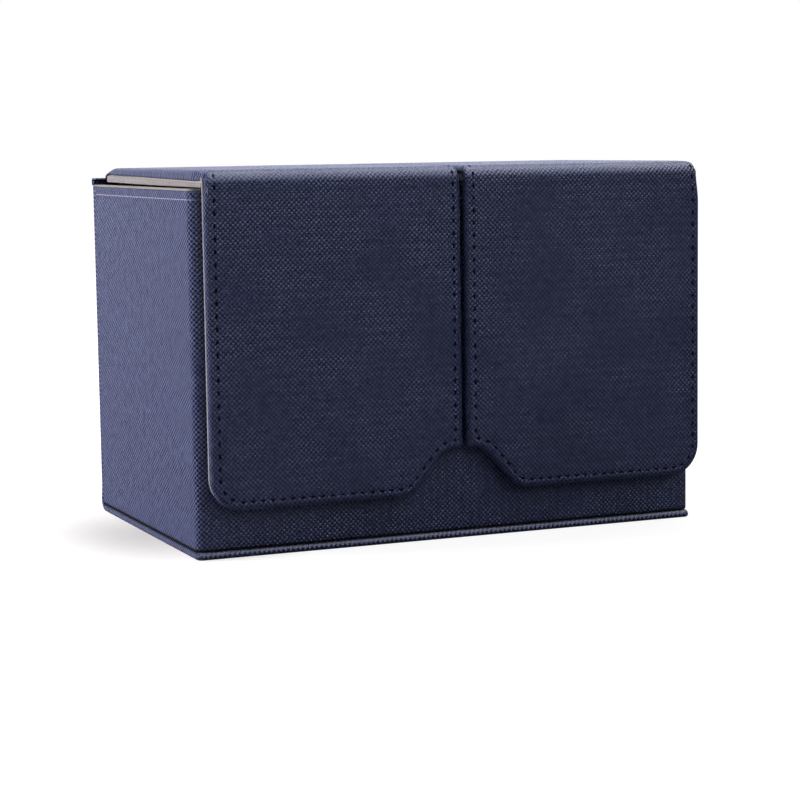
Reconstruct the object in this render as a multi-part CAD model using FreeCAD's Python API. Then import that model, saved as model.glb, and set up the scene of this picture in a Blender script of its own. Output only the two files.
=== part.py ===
import FreeCAD, Part
import math
import os

# A two-bay card box with a drawer, in millimetres.
# X runs across the front, the front faces -Y, Z is up.
# The origin is at the bottom centre of the closed box.

# Overall size of the closed box. Its width is that of the base.
BASE_WIDTH = 153.0
BOX_DEPTH = 100.0
BOX_HEIGHT = 105.0

# Sheet materials.
SKIN = 0.5
LINING = 0.5
WALL_BOARD = 1.5
REAR_BOARD = 0.6
SHELF_BOARD = 2.0

# Base and back panels, which stand out round the body as a lip.
PANEL_THICKNESS = 2.3
PANEL_EDGE_RADIUS = 0.7
PANEL_CORNER_RADIUS = 1.9
PANEL_BEND_RADIUS = 3.5
PANEL_BOARD_INSET = 1.2
SIDE_LIP = 0.2
FRONT_LIP = 0.6
BASE_SETBACK = 4.2
BACK_PANEL_TOP = 101.2

# Body walls.
WALL_TOP = 100.0
WALL_CORNER_RADIUS = 2.6

# Lids. The two lids sit a little to the right of the body.
LID_LEFT_EDGE = -73.5
LID_RIGHT_EDGE = 77.1
SLIT_CENTRE = 1.5
SLIT_WIDTH = 1.2
LID_THICKNESS = 2.0
LID_PAD_THICKNESS = 2.5
LID_BACK_EDGE = 44.5
LID_BACK_ROUND = 6.5
LID_EDGE_RADIUS = 0.9
LID_BOARD_INSET = 1.0
PAD_INSET = 0.2
PAD_BACK_EDGE = 44.8
PAD_FLEECE = 0.4

# Flaps.
FOLD_RADIUS = 3.6
FLAP_THICKNESS = 2.0
FLAP_LINING_THICKNESS = 1.4
FLAP_LINING_INSET = 0.1
FLAP_LINING_TOP_GAP = 0.5
FLAP_BOTTOM = 13.4
FLAP_CORNER_RADIUS = 9.0
NOTCH_HEIGHT = 12.8
NOTCH_HALF_WIDTH = 16.3
NOTCH_SIDE_ANGLE = 50.0
NOTCH_TOP_RADIUS = 6.5
NOTCH_BOTTOM_RADIUS = 7.0

# Soft hinge strip in the groove behind the lids.
HINGE_STRIP_THICKNESS = 0.8

# Magnet discs.
MAGNET_RADIUS = 5.0
MAGNET_CLEARANCE = 0.1
MAGNET_HEIGHT = 24.0
MAGNET_SPACING = 34.0

# Drawer and its bay.
BAY_HEIGHT = 22.2
RAIL_THICKNESS = 2.0
DRAWER_SIDE_GAP = 0.6
DRAWER_TOP_GAP = 0.8
DRAWER_FLOOR_GAP = 0.3
DRAWER_BACK_GAP = 0.6
FINGER_NOTCH_RADIUS = 9.0

# Places worked out from the sizes above.
HALF_WIDTH = BASE_WIDTH / 2
FRONT_PLANE = -BOX_DEPTH / 2
BACK_PLANE = BOX_DEPTH / 2
BASE_FRONT = FRONT_PLANE + BASE_SETBACK
BODY_HALF_WIDTH = HALF_WIDTH - SIDE_LIP
BODY_FRONT = BASE_FRONT + FRONT_LIP
BODY_BACK = BACK_PLANE - PANEL_THICKNESS
BODY_BOTTOM = PANEL_THICKNESS
BOARD_TOP = WALL_TOP - LINING
CORE_HALF_WIDTH = BODY_HALF_WIDTH - SKIN
CORE_FRONT = BODY_FRONT + SKIN
INNER_HALF_WIDTH = CORE_HALF_WIDTH - WALL_BOARD
INNER_FRONT = CORE_FRONT + WALL_BOARD
INNER_BACK = BODY_BACK - REAR_BOARD
BAY_FLOOR = BODY_BOTTOM + WALL_BOARD + LINING
SHELF_BOTTOM = BAY_FLOOR + BAY_HEIGHT
SHELF_TOP = SHELF_BOTTOM + SHELF_BOARD
MOUTH_FRONT = INNER_FRONT + LINING + RAIL_THICKNESS
MOUTH_BACK = INNER_BACK - LINING - RAIL_THICKNESS
LID_BOTTOM = BOX_HEIGHT - LID_THICKNESS
PAD_BOTTOM = LID_BOTTOM - LID_PAD_THICKNESS
FOLD_Y = FRONT_PLANE + FOLD_RADIUS
FOLD_Z = BOX_HEIGHT - FOLD_RADIUS
FLAP_INNER_PLANE = FRONT_PLANE + FLAP_THICKNESS


def save(name, shape):
    """Write one sub-part to its own STEP file."""
    shape.exportStep(os.path.join("parts", name + ".step"))


def block(x_low, x_high, y_low, y_high, z_low, z_high):
    """A plain box between two corners."""
    corner = FreeCAD.Vector(x_low, y_low, z_low)
    return Part.makeBox(x_high - x_low, y_high - y_low, z_high - z_low, corner)


def rounded_outline(points, radii):
    """A closed wire through the points, each corner rounded by its own radius."""
    edges = []
    starts = []
    ends = []
    middles = []
    for index, corner in enumerate(points):
        before = (points[index - 1] - corner).normalize()
        after = (points[(index + 1) % len(points)] - corner).normalize()
        half_angle = before.getAngle(after) / 2
        run = radii[index] / math.tan(half_angle)
        starts.append(corner + before * run)
        ends.append(corner + after * run)
        to_centre = (before + after).normalize()
        reach = radii[index] / math.sin(half_angle) - radii[index]
        middles.append(corner + to_centre * reach)
    for index in range(len(points)):
        if radii[index] > 0:
            edges.append(Part.Arc(starts[index], middles[index], ends[index]).toShape())
        following = (index + 1) % len(points)
        if ends[index].distanceToPoint(starts[following]) > 1e-6:
            edges.append(Part.LineSegment(ends[index], starts[following]).toShape())
    return Part.Wire(edges)


def prism(points, radii, direction):
    """A straight-sided solid on a rounded outline."""
    return Part.Face(rounded_outline(points, radii)).extrude(direction)


def body_prism(inset, z_low, z_high, y_back=BODY_BACK):
    """The body's plan, moved in by an inset on its sides and front, as a solid."""
    half_width = BODY_HALF_WIDTH - inset
    front = BODY_FRONT + inset
    radius = WALL_CORNER_RADIUS - inset
    points = [
        FreeCAD.Vector(-half_width, front, z_low),
        FreeCAD.Vector(half_width, front, z_low),
        FreeCAD.Vector(half_width, y_back, z_low),
        FreeCAD.Vector(-half_width, y_back, z_low),
    ]
    return prism(points, [radius, radius, 0, 0], FreeCAD.Vector(0, 0, z_high - z_low))


def edges_where(shape, test):
    """The edges of a shape whose every vertex passes a test."""
    return [edge for edge in shape.Edges if all(test(vertex.Point) for vertex in edge.Vertexes)]


def disc(x, y_low, z, radius, thickness):
    """A round disc that faces the front."""
    place = FreeCAD.Vector(x, y_low, z)
    return Part.makeCylinder(radius, thickness, place, FreeCAD.Vector(0, 1, 0))


# ---- Base and back panels -------------------------------------------------------------


def make_base_board():
    """The grey board inside the base panel."""
    radius = PANEL_CORNER_RADIUS - PANEL_BOARD_INSET
    half_width = HALF_WIDTH - PANEL_BOARD_INSET
    front = BASE_FRONT + PANEL_BOARD_INSET
    back = BACK_PLANE - PANEL_BEND_RADIUS
    points = [
        FreeCAD.Vector(-half_width, front, SKIN),
        FreeCAD.Vector(half_width, front, SKIN),
        FreeCAD.Vector(half_width, back, SKIN),
        FreeCAD.Vector(-half_width, back, SKIN),
    ]
    return prism(points, [radius, radius, 0, 0], FreeCAD.Vector(0, 0, PANEL_THICKNESS - 2 * SKIN))


def make_back_board():
    """The grey board inside the back panel."""
    half_width = HALF_WIDTH - PANEL_BOARD_INSET
    return block(-half_width, half_width, BODY_BACK + SKIN, BACK_PLANE - SKIN,
                 PANEL_BEND_RADIUS, BACK_PANEL_TOP - PANEL_BOARD_INSET)


def wrap_profile():
    """The wrap's side view: base panel, bend and back panel, all of one thickness."""
    x = -HALF_WIDTH
    bend_y = BACK_PLANE - PANEL_BEND_RADIUS
    inner_radius = PANEL_BEND_RADIUS - PANEL_THICKNESS

    def bend_point(radius, turn):
        angle = math.radians(turn)
        y = bend_y + radius * math.sin(angle)
        return FreeCAD.Vector(x, y, PANEL_BEND_RADIUS - radius * math.cos(angle))

    outer = [bend_point(PANEL_BEND_RADIUS, turn) for turn in (0, 45, 90)]
    inner = [bend_point(inner_radius, turn) for turn in (90, 45, 0)]
    front_low = FreeCAD.Vector(x, BASE_FRONT, 0)
    front_high = FreeCAD.Vector(x, BASE_FRONT, PANEL_THICKNESS)
    top_outer = FreeCAD.Vector(x, BACK_PLANE, BACK_PANEL_TOP)
    top_inner = FreeCAD.Vector(x, BODY_BACK, BACK_PANEL_TOP)
    return Part.Wire([
        Part.LineSegment(front_low, outer[0]).toShape(),
        Part.Arc(*outer).toShape(),
        Part.LineSegment(outer[-1], top_outer).toShape(),
        Part.LineSegment(top_outer, top_inner).toShape(),
        Part.LineSegment(top_inner, inner[0]).toShape(),
        Part.Arc(*inner).toShape(),
        Part.LineSegment(inner[-1], front_high).toShape(),
        Part.LineSegment(front_high, front_low).toShape(),
    ])


def make_panels():
    """The base and back panels as one solid, with a rounded rim and a bend at the back."""
    wrap = Part.Face(wrap_profile()).extrude(FreeCAD.Vector(BASE_WIDTH, 0, 0))
    corners = []
    for edge in wrap.Edges:
        box = edge.BoundBox
        if box.YMax < BASE_FRONT + 0.01 and box.XLength < 0.01:
            corners.append(edge)
    wrap = wrap.makeFillet(PANEL_CORNER_RADIUS, corners)
    rim = []
    for edge in wrap.Edges:
        box = edge.BoundBox
        at_side = box.XLength < 0.01 and abs(abs(box.XMin) - HALF_WIDTH) < 0.01
        at_front = box.ZLength < 0.01 and box.YMin < BASE_FRONT + 0.01
        if (at_side and box.YMin > BASE_FRONT and box.ZMin < BACK_PANEL_TOP - 0.01) or at_front:
            rim.append(edge)
    return wrap.makeFillet(PANEL_EDGE_RADIUS, rim)


# ---- Body -----------------------------------------------------------------------------


def drawer_mouth():
    """The space that the drawer passes through in the right wall."""
    return block(INNER_HALF_WIDTH - 1, HALF_WIDTH, MOUTH_FRONT, MOUTH_BACK, BAY_FLOOR, SHELF_BOTTOM)


def make_body_cover(panels):
    """The skin on the left, front and right walls, relieved round the panels' bend."""
    outer = body_prism(0, BODY_BOTTOM, BOARD_TOP)
    inner = body_prism(SKIN, BODY_BOTTOM - 1, BOARD_TOP + 1, BODY_BACK + 1)
    return outer.cut(inner).cut(drawer_mouth()).cut(panels)


def make_walls(panels):
    """The bottom board, relieved round the panels' bend, and the four wall boards that stand on it."""
    bottom_top = BODY_BOTTOM + WALL_BOARD
    core = body_prism(SKIN, bottom_top, BOARD_TOP)
    left = core.common(block(-CORE_HALF_WIDTH, -INNER_HALF_WIDTH, CORE_FRONT, BODY_BACK, 0, BOX_HEIGHT))
    right = core.common(block(INNER_HALF_WIDTH, CORE_HALF_WIDTH, CORE_FRONT, BODY_BACK, 0, BOX_HEIGHT))
    front = core.common(block(-INNER_HALF_WIDTH, INNER_HALF_WIDTH, CORE_FRONT, INNER_FRONT, 0, BOX_HEIGHT))
    rear = block(-INNER_HALF_WIDTH, INNER_HALF_WIDTH, INNER_BACK, BODY_BACK, bottom_top, BOARD_TOP)
    mouth = drawer_mouth()
    mouth = mouth.fuse(mouth.translated(FreeCAD.Vector(0, 0, -LINING)))
    for x in magnet_places():
        hole = disc(x, CORE_FRONT, MAGNET_HEIGHT, MAGNET_RADIUS + MAGNET_CLEARANCE, WALL_BOARD)
        front = front.cut(hole)
    return {
        "bottom_board": body_prism(SKIN, BODY_BOTTOM, bottom_top).cut(panels),
        "left_wall_board": left,
        "right_wall_board": right.cut(mouth),
        "front_wall_board": front,
        "rear_wall_board": rear,
    }


def make_shelf_board():
    """The floor of the card bays and the roof of the drawer bay."""
    return block(-INNER_HALF_WIDTH, INNER_HALF_WIDTH, INNER_FRONT, INNER_BACK, SHELF_BOTTOM, SHELF_TOP)


def make_divider_board():
    """The board between the two card bays."""
    half = SHELF_BOARD / 2
    return block(-half, half, INNER_FRONT, INNER_BACK, SHELF_TOP, BOARD_TOP)


def make_bay_lining(x_low, x_high, x_rim_low, x_rim_high):
    """Fleece inside one card bay, turned over the tops of its walls."""
    outer = block(x_low, x_high, INNER_FRONT, INNER_BACK, SHELF_TOP, BOARD_TOP)
    rim = body_prism(0, BOARD_TOP, WALL_TOP)
    rim = rim.common(block(x_rim_low, x_rim_high, BODY_FRONT, BODY_BACK, BOARD_TOP, WALL_TOP))
    hollow = block(x_low + LINING, x_high - LINING, INNER_FRONT + LINING, INNER_BACK - LINING,
                   SHELF_TOP + LINING, WALL_TOP)
    return outer.fuse(rim).removeSplitter().cut(hollow)


def make_drawer_bay_lining():
    """Fleece on the floor, front, left end and back of the drawer bay."""
    bottom = BAY_FLOOR - LINING
    outer = block(-INNER_HALF_WIDTH, INNER_HALF_WIDTH, INNER_FRONT, INNER_BACK, bottom, SHELF_BOTTOM)
    hollow = block(-INNER_HALF_WIDTH + LINING, INNER_HALF_WIDTH, INNER_FRONT + LINING,
                   INNER_BACK - LINING, BAY_FLOOR, SHELF_BOTTOM)
    tongue = block(INNER_HALF_WIDTH, CORE_HALF_WIDTH, MOUTH_FRONT, MOUTH_BACK, bottom, BAY_FLOOR)
    return outer.cut(hollow).fuse(tongue).removeSplitter()


def make_drawer_rail(y_low):
    """A board strip that guides one side of the drawer."""
    return block(-INNER_HALF_WIDTH + LINING, INNER_HALF_WIDTH, y_low, y_low + RAIL_THICKNESS,
                 BAY_FLOOR, SHELF_BOTTOM)


def lid_edges():
    """The left and right edges of the left lid and of the right lid."""
    half_slit = SLIT_WIDTH / 2
    return {
        "left": (LID_LEFT_EDGE, SLIT_CENTRE - half_slit),
        "right": (SLIT_CENTRE + half_slit, LID_RIGHT_EDGE),
    }


def magnet_places(side=None):
    """The X places of the magnets, for one flap or for both."""
    places = []
    for name, (x_low, x_high) in lid_edges().items():
        if side in (None, name):
            middle = (x_low + x_high) / 2
            places += [middle - MAGNET_SPACING / 2, middle + MAGNET_SPACING / 2]
    return places


def make_magnets(places, y_low, thickness):
    """Magnet discs in a row."""
    return Part.makeCompound([disc(x, y_low, MAGNET_HEIGHT, MAGNET_RADIUS, thickness) for x in places])


# ---- Lids -----------------------------------------------------------------------------


def lid_profile(x):
    """The lid's side view: flat, with a long round drop at its back edge."""
    drop_radius = (LID_BACK_ROUND ** 2 + LID_THICKNESS ** 2) / (2 * LID_THICKNESS)
    round_start = LID_BACK_EDGE - LID_BACK_ROUND
    half_run = LID_BACK_ROUND / 2
    middle_drop = drop_radius - math.sqrt(drop_radius ** 2 - half_run ** 2)
    front_low = FreeCAD.Vector(x, FOLD_Y, LID_BOTTOM)
    front_high = FreeCAD.Vector(x, FOLD_Y, BOX_HEIGHT)
    round_high = FreeCAD.Vector(x, round_start, BOX_HEIGHT)
    round_middle = FreeCAD.Vector(x, round_start + half_run, BOX_HEIGHT - middle_drop)
    back_low = FreeCAD.Vector(x, LID_BACK_EDGE, LID_BOTTOM)
    return Part.Wire([
        Part.LineSegment(front_low, front_high).toShape(),
        Part.LineSegment(front_high, round_high).toShape(),
        Part.Arc(round_high, round_middle, back_low).toShape(),
        Part.LineSegment(back_low, front_low).toShape(),
    ])


def make_lid_board(x_low, x_high):
    """The grey board inside one lid."""
    back = LID_BACK_EDGE - LID_BACK_ROUND + LID_BOARD_INSET
    return block(x_low + LID_BOARD_INSET, x_high - LID_BOARD_INSET, FOLD_Y + LID_BOARD_INSET, back,
                 LID_BOTTOM + SKIN, BOX_HEIGHT - SKIN)


def make_lid_cover(x_low, x_high, board):
    """The skin round one lid's board, with softened side edges."""
    lid = Part.Face(lid_profile(x_low)).extrude(FreeCAD.Vector(x_high - x_low, 0, 0))
    side_edges = []
    for edge in lid.Edges:
        box = edge.BoundBox
        on_side = box.XLength < 0.01
        on_top = box.ZMax > BOX_HEIGHT - 0.01 and box.YLength > 1
        if on_side and on_top:
            side_edges.append(edge)
    return lid.makeFillet(LID_EDGE_RADIUS, side_edges).cut(board)


def make_lid_inner_board(x_low, x_high):
    """The grey board inside the fleece pad under one lid."""
    inset = PAD_INSET + PAD_FLEECE
    return block(x_low + inset, x_high - inset, FOLD_Y + PAD_FLEECE, PAD_BACK_EDGE - PAD_FLEECE,
                 PAD_BOTTOM + PAD_FLEECE, LID_BOTTOM - PAD_FLEECE)


def make_lid_lining(x_low, x_high, board):
    """The fleece round the pad under one lid."""
    pad = block(x_low + PAD_INSET, x_high - PAD_INSET, FOLD_Y, PAD_BACK_EDGE,
                PAD_BOTTOM, LID_BOTTOM)
    return pad.cut(board)


def make_hinge_strip(side):
    """The soft strip from the top of the back panel to one lid, which reaches to the panel's end."""
    x_low, x_high = lid_edges()[side]
    if side == "left":
        x_low = -HALF_WIDTH
    else:
        x_high = HALF_WIDTH
    strip = block(x_low, x_high, PAD_BACK_EDGE, BACK_PLANE, BACK_PANEL_TOP,
                  BACK_PANEL_TOP + HINGE_STRIP_THICKNESS)
    outer_edge = edges_where(strip, lambda p: p.y > BACK_PLANE - 0.01 and p.z > BACK_PANEL_TOP + 0.01)
    return strip.makeFillet(HINGE_STRIP_THICKNESS / 2, outer_edge)


def quarter_ring_point(x, radius, angle):
    """A point on the front fold, at an angle from straight up towards the front."""
    return FreeCAD.Vector(x, FOLD_Y - radius * math.sin(angle), FOLD_Z + radius * math.cos(angle))


def make_fold_strip(x_low, x_high):
    """The soft bend between one lid and its flap."""
    inner_radius = FOLD_RADIUS - LID_THICKNESS
    outer = [quarter_ring_point(x_low, FOLD_RADIUS, math.radians(turn)) for turn in (0, 45, 90)]
    inner = [quarter_ring_point(x_low, inner_radius, math.radians(turn)) for turn in (90, 45, 0)]
    profile = Part.Wire([
        Part.Arc(*outer).toShape(),
        Part.LineSegment(outer[-1], inner[0]).toShape(),
        Part.Arc(*inner).toShape(),
        Part.LineSegment(inner[-1], outer[0]).toShape(),
    ])
    return Part.Face(profile).extrude(FreeCAD.Vector(x_high - x_low, 0, 0))


# ---- Flaps ----------------------------------------------------------------------------


def flap_prism(side, inset, y_low, y_high, z_high):
    """One flap's outline, moved in by an inset, as a solid between two Y planes."""
    x_low, x_high = lid_edges()[side]
    toward_slit = 1 if side == "left" else -1
    outer_x = (x_low if side == "left" else x_high) + toward_slit * inset
    slit_x = (x_high if side == "left" else x_low) - toward_slit * inset
    slope = math.tan(math.radians(NOTCH_SIDE_ANGLE))
    side_shift = inset / math.sin(math.radians(NOTCH_SIDE_ANGLE))
    bottom = FLAP_BOTTOM + inset
    notch_top = FLAP_BOTTOM + NOTCH_HEIGHT + inset
    foot = NOTCH_HALF_WIDTH + side_shift - inset / slope
    head = NOTCH_HALF_WIDTH + side_shift - (NOTCH_HEIGHT + inset) / slope
    corners = [
        (outer_x, z_high, 0),
        (outer_x, bottom, FLAP_CORNER_RADIUS - inset),
        (SLIT_CENTRE - toward_slit * foot, bottom, NOTCH_BOTTOM_RADIUS - inset),
        (SLIT_CENTRE - toward_slit * head, notch_top, NOTCH_TOP_RADIUS + inset),
        (slit_x, notch_top, 0),
        (slit_x, z_high, 0),
    ]
    points = [FreeCAD.Vector(x, y_low, z) for x, z, radius in corners]
    radii = [radius for x, z, radius in corners]
    return prism(points, radii, FreeCAD.Vector(0, y_high - y_low, 0))


def make_flap_board(side):
    """The grey board inside one flap, with a hole for each magnet."""
    y_low = FRONT_PLANE + SKIN
    y_high = FLAP_INNER_PLANE - SKIN
    board = flap_prism(side, LID_BOARD_INSET, y_low, y_high, FOLD_Z - LID_BOARD_INSET)
    for x in magnet_places(side):
        board = board.cut(disc(x, y_low, MAGNET_HEIGHT, MAGNET_RADIUS + MAGNET_CLEARANCE, y_high - y_low))
    return board


def make_flap_cover(side):
    """The skin round one flap's board."""
    flap = flap_prism(side, 0, FRONT_PLANE, FLAP_INNER_PLANE, FOLD_Z)
    core = flap_prism(side, LID_BOARD_INSET, FRONT_PLANE + SKIN, FLAP_INNER_PLANE - SKIN,
                      FOLD_Z - LID_BOARD_INSET)
    return flap.cut(core)


def make_flap_lining(side):
    """The fleece pad on the inside of one flap."""
    return flap_prism(side, FLAP_LINING_INSET, FLAP_INNER_PLANE, FLAP_INNER_PLANE + FLAP_LINING_THICKNESS,
                      FOLD_Z - FLAP_LINING_TOP_GAP)


# ---- Drawer ---------------------------------------------------------------------------


def make_drawer():
    """The drawer's five boards, its skin and its lining, with a finger notch in the face."""
    left = -INNER_HALF_WIDTH + LINING + DRAWER_BACK_GAP
    right = BODY_HALF_WIDTH
    front = MOUTH_FRONT + DRAWER_SIDE_GAP
    back = MOUTH_BACK - DRAWER_SIDE_GAP
    bottom = BAY_FLOOR + DRAWER_FLOOR_GAP
    top = SHELF_BOTTOM - DRAWER_TOP_GAP
    floor_low = bottom + SKIN
    floor_high = floor_low + WALL_BOARD
    board_top = top - SKIN
    shell = block(left, right, front, back, bottom, top)
    x_low = left + SKIN
    x_high = right - SKIN
    y_low = front + SKIN
    y_high = back - SKIN
    hollow = block(x_low + WALL_BOARD, x_high - WALL_BOARD, y_low + WALL_BOARD, y_high - WALL_BOARD,
                   floor_high, top)
    walls = {
        "drawer_bottom_board": block(x_low, x_high, y_low, y_high, floor_low, floor_high),
        "drawer_front_side_board": block(x_low + WALL_BOARD, x_high - WALL_BOARD, y_low,
                                         y_low + WALL_BOARD, floor_high, board_top),
        "drawer_rear_side_board": block(x_low + WALL_BOARD, x_high - WALL_BOARD, y_high - WALL_BOARD,
                                        y_high, floor_high, board_top),
        "drawer_back_board": block(x_low, x_low + WALL_BOARD, y_low, y_high, floor_high, board_top),
        "drawer_face_board": block(x_high - WALL_BOARD, x_high, y_low, y_high, floor_high, board_top),
    }
    lined = block(x_low + WALL_BOARD + LINING, x_high - WALL_BOARD - LINING, y_low + WALL_BOARD + LINING,
                  y_high - WALL_BOARD - LINING, floor_high + LINING, top)
    cover = shell.cut(hollow)
    for board in walls.values():
        cover = cover.cut(board)
    notch_place = FreeCAD.Vector(x_high - WALL_BOARD - LINING - 1, (front + back) / 2, top)
    notch = Part.makeCylinder(FINGER_NOTCH_RADIUS, WALL_BOARD + LINING + SKIN + 2, notch_place,
                              FreeCAD.Vector(1, 0, 0))
    pieces = dict(walls)
    pieces["drawer_face_board"] = walls["drawer_face_board"].cut(notch)
    pieces["drawer_cover"] = cover.cut(notch)
    pieces["drawer_lining"] = hollow.cut(lined).cut(notch)
    return pieces


# ---- Whole box ------------------------------------------------------------------------


def make_lid_and_flap(side):
    """Every piece of one lid and its flap."""
    x_low, x_high = lid_edges()[side]
    lid_board = make_lid_board(x_low, x_high)
    inner_board = make_lid_inner_board(x_low, x_high)
    magnet_thickness = FLAP_THICKNESS - 2 * SKIN
    return {
        side + "_lid_board": lid_board,
        side + "_lid_cover": make_lid_cover(x_low, x_high, lid_board),
        side + "_lid_inner_board": inner_board,
        side + "_lid_lining": make_lid_lining(x_low, x_high, inner_board),
        side + "_hinge_strip": make_hinge_strip(side),
        side + "_fold_strip": make_fold_strip(x_low, x_high),
        side + "_flap_board": make_flap_board(side),
        side + "_flap_cover": make_flap_cover(side),
        side + "_flap_lining": make_flap_lining(side),
        side + "_flap_magnets": make_magnets(magnet_places(side), FRONT_PLANE + SKIN, magnet_thickness),
    }


def make_box():
    """Every piece of the box, by name."""
    panels = make_panels()
    base_board = make_base_board()
    back_board = make_back_board()
    half_divider = SHELF_BOARD / 2
    pieces = {
        "base_board": base_board,
        "back_board": back_board,
        "outer_wrap": panels.cut(base_board).cut(back_board),
        "body_cover": make_body_cover(panels),
        "shelf_board": make_shelf_board(),
        "divider_board": make_divider_board(),
        "left_bay_lining": make_bay_lining(-INNER_HALF_WIDTH, -half_divider, -BODY_HALF_WIDTH, 0),
        "right_bay_lining": make_bay_lining(half_divider, INNER_HALF_WIDTH, 0, BODY_HALF_WIDTH),
        "drawer_bay_lining": make_drawer_bay_lining(),
        "front_drawer_rail": make_drawer_rail(INNER_FRONT + LINING),
        "rear_drawer_rail": make_drawer_rail(MOUTH_BACK),
        "front_wall_magnets": make_magnets(magnet_places(), CORE_FRONT, WALL_BOARD),
    }
    pieces.update(make_walls(panels))
    pieces.update(make_drawer())
    for side in ("left", "right"):
        pieces.update(make_lid_and_flap(side))
    return pieces


def main():
    os.makedirs("parts", exist_ok=True)
    for name, shape in make_box().items():
        save(name, shape)
        print(name, shape.isValid(), len(shape.Solids), round(shape.Volume / 1000, 2))


main()
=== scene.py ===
import math

import bmesh
import bpy
from mathutils import Matrix, Vector


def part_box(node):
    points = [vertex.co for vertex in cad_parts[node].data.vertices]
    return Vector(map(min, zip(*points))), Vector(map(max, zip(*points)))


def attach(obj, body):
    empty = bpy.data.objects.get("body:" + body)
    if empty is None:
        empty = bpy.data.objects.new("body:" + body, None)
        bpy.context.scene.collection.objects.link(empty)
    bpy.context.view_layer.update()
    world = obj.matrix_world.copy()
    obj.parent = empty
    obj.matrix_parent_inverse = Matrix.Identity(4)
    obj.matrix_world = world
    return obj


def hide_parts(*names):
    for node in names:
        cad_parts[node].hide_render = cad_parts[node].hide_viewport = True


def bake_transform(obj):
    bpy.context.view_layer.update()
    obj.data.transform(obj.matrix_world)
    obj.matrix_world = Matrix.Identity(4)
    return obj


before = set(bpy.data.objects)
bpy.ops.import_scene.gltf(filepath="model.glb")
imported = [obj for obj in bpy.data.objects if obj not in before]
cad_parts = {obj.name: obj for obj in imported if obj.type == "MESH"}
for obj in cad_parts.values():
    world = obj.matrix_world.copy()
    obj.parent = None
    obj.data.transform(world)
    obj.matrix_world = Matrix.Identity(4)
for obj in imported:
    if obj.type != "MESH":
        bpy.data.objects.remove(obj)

bl_info = {
    "name": "Two-Bay Card Box",
    "version": (1, 0, 0),
    "blender": (4, 5, 0),
    "location": "View3D > Sidebar > Card Box",
    "description": "Dresses a two-bay card box in grained skin, fleece and stitching",
    "category": "Object",
}

# Everything is in metres: X runs across the front, the front faces -Y, Z is up.
MM = 0.001
SIDES = ("left", "right")
SHEET_MAP = "sheet"

# Faces that meet at more than this angle keep a hard edge.
SHARP_ANGLE = math.radians(38)
# Cuts in each bend of a folded sheet, and faces across a rolled rim.
BEND_STEPS = 10
RIM_SEGMENTS = 4
# Width of the flat ring that keeps a face flat beside a rounded rim or a furrow.
SUPPORT_RING = 0.2 * MM
# Width at which a new ring starts, before its vertices go to their places.
RING_START = 0.01 * MM
# Places this near count as the same. Cuts merge vertices that are nearer still.
SAME_PLACE = 1e-6
MERGE_DISTANCE = 1e-7
# Size of the Z of a flat sheet's normals: above the first on its level sides, below the second on
# its rolled rim, and below the third on its upright walls.
LEVEL_NORMAL = 0.99
RIM_NORMAL = 0.95
WALL_NORMAL = 0.1

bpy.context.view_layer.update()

# Lowest and highest corners of the construction's nodes.
WRAP_LOW, WRAP_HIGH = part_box("outer_wrap")
BODY_LOW, BODY_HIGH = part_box("body_cover")
WALL_LOW, WALL_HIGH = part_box("left_wall_board")
LID_LOW, LID_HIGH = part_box("left_lid_cover")
PAD_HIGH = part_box("left_lid_lining")[1]
STRIP_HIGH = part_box("left_hinge_strip")[1]
FLAP_LOW, FLAP_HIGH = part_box("left_flap_cover")
FLAP_LINING_LOW, FLAP_LINING_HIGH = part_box("left_flap_lining")
DRAWER_LOW, DRAWER_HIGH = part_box("drawer_cover")
RAIL_FRONT_LOW, RAIL_FRONT_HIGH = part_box("front_drawer_rail")
RAIL_REAR_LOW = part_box("rear_drawer_rail")[0]

SKIN = WALL_LOW.x - BODY_LOW.x
DRAWER_WALL = WALL_HIGH.x - WALL_LOW.x + SKIN
LID_THICKNESS = LID_HIGH.z - LID_LOW.z
FOLD_RADIUS = LID_HIGH.z - FLAP_HIGH.z
BACK_PANEL_THICKNESS = WRAP_HIGH.y - BODY_HIGH.y
SLIT_CENTRE = (LID_HIGH.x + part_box("right_lid_cover")[0].x) / 2


# ---- Settings -------------------------------------------------------------------------


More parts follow.
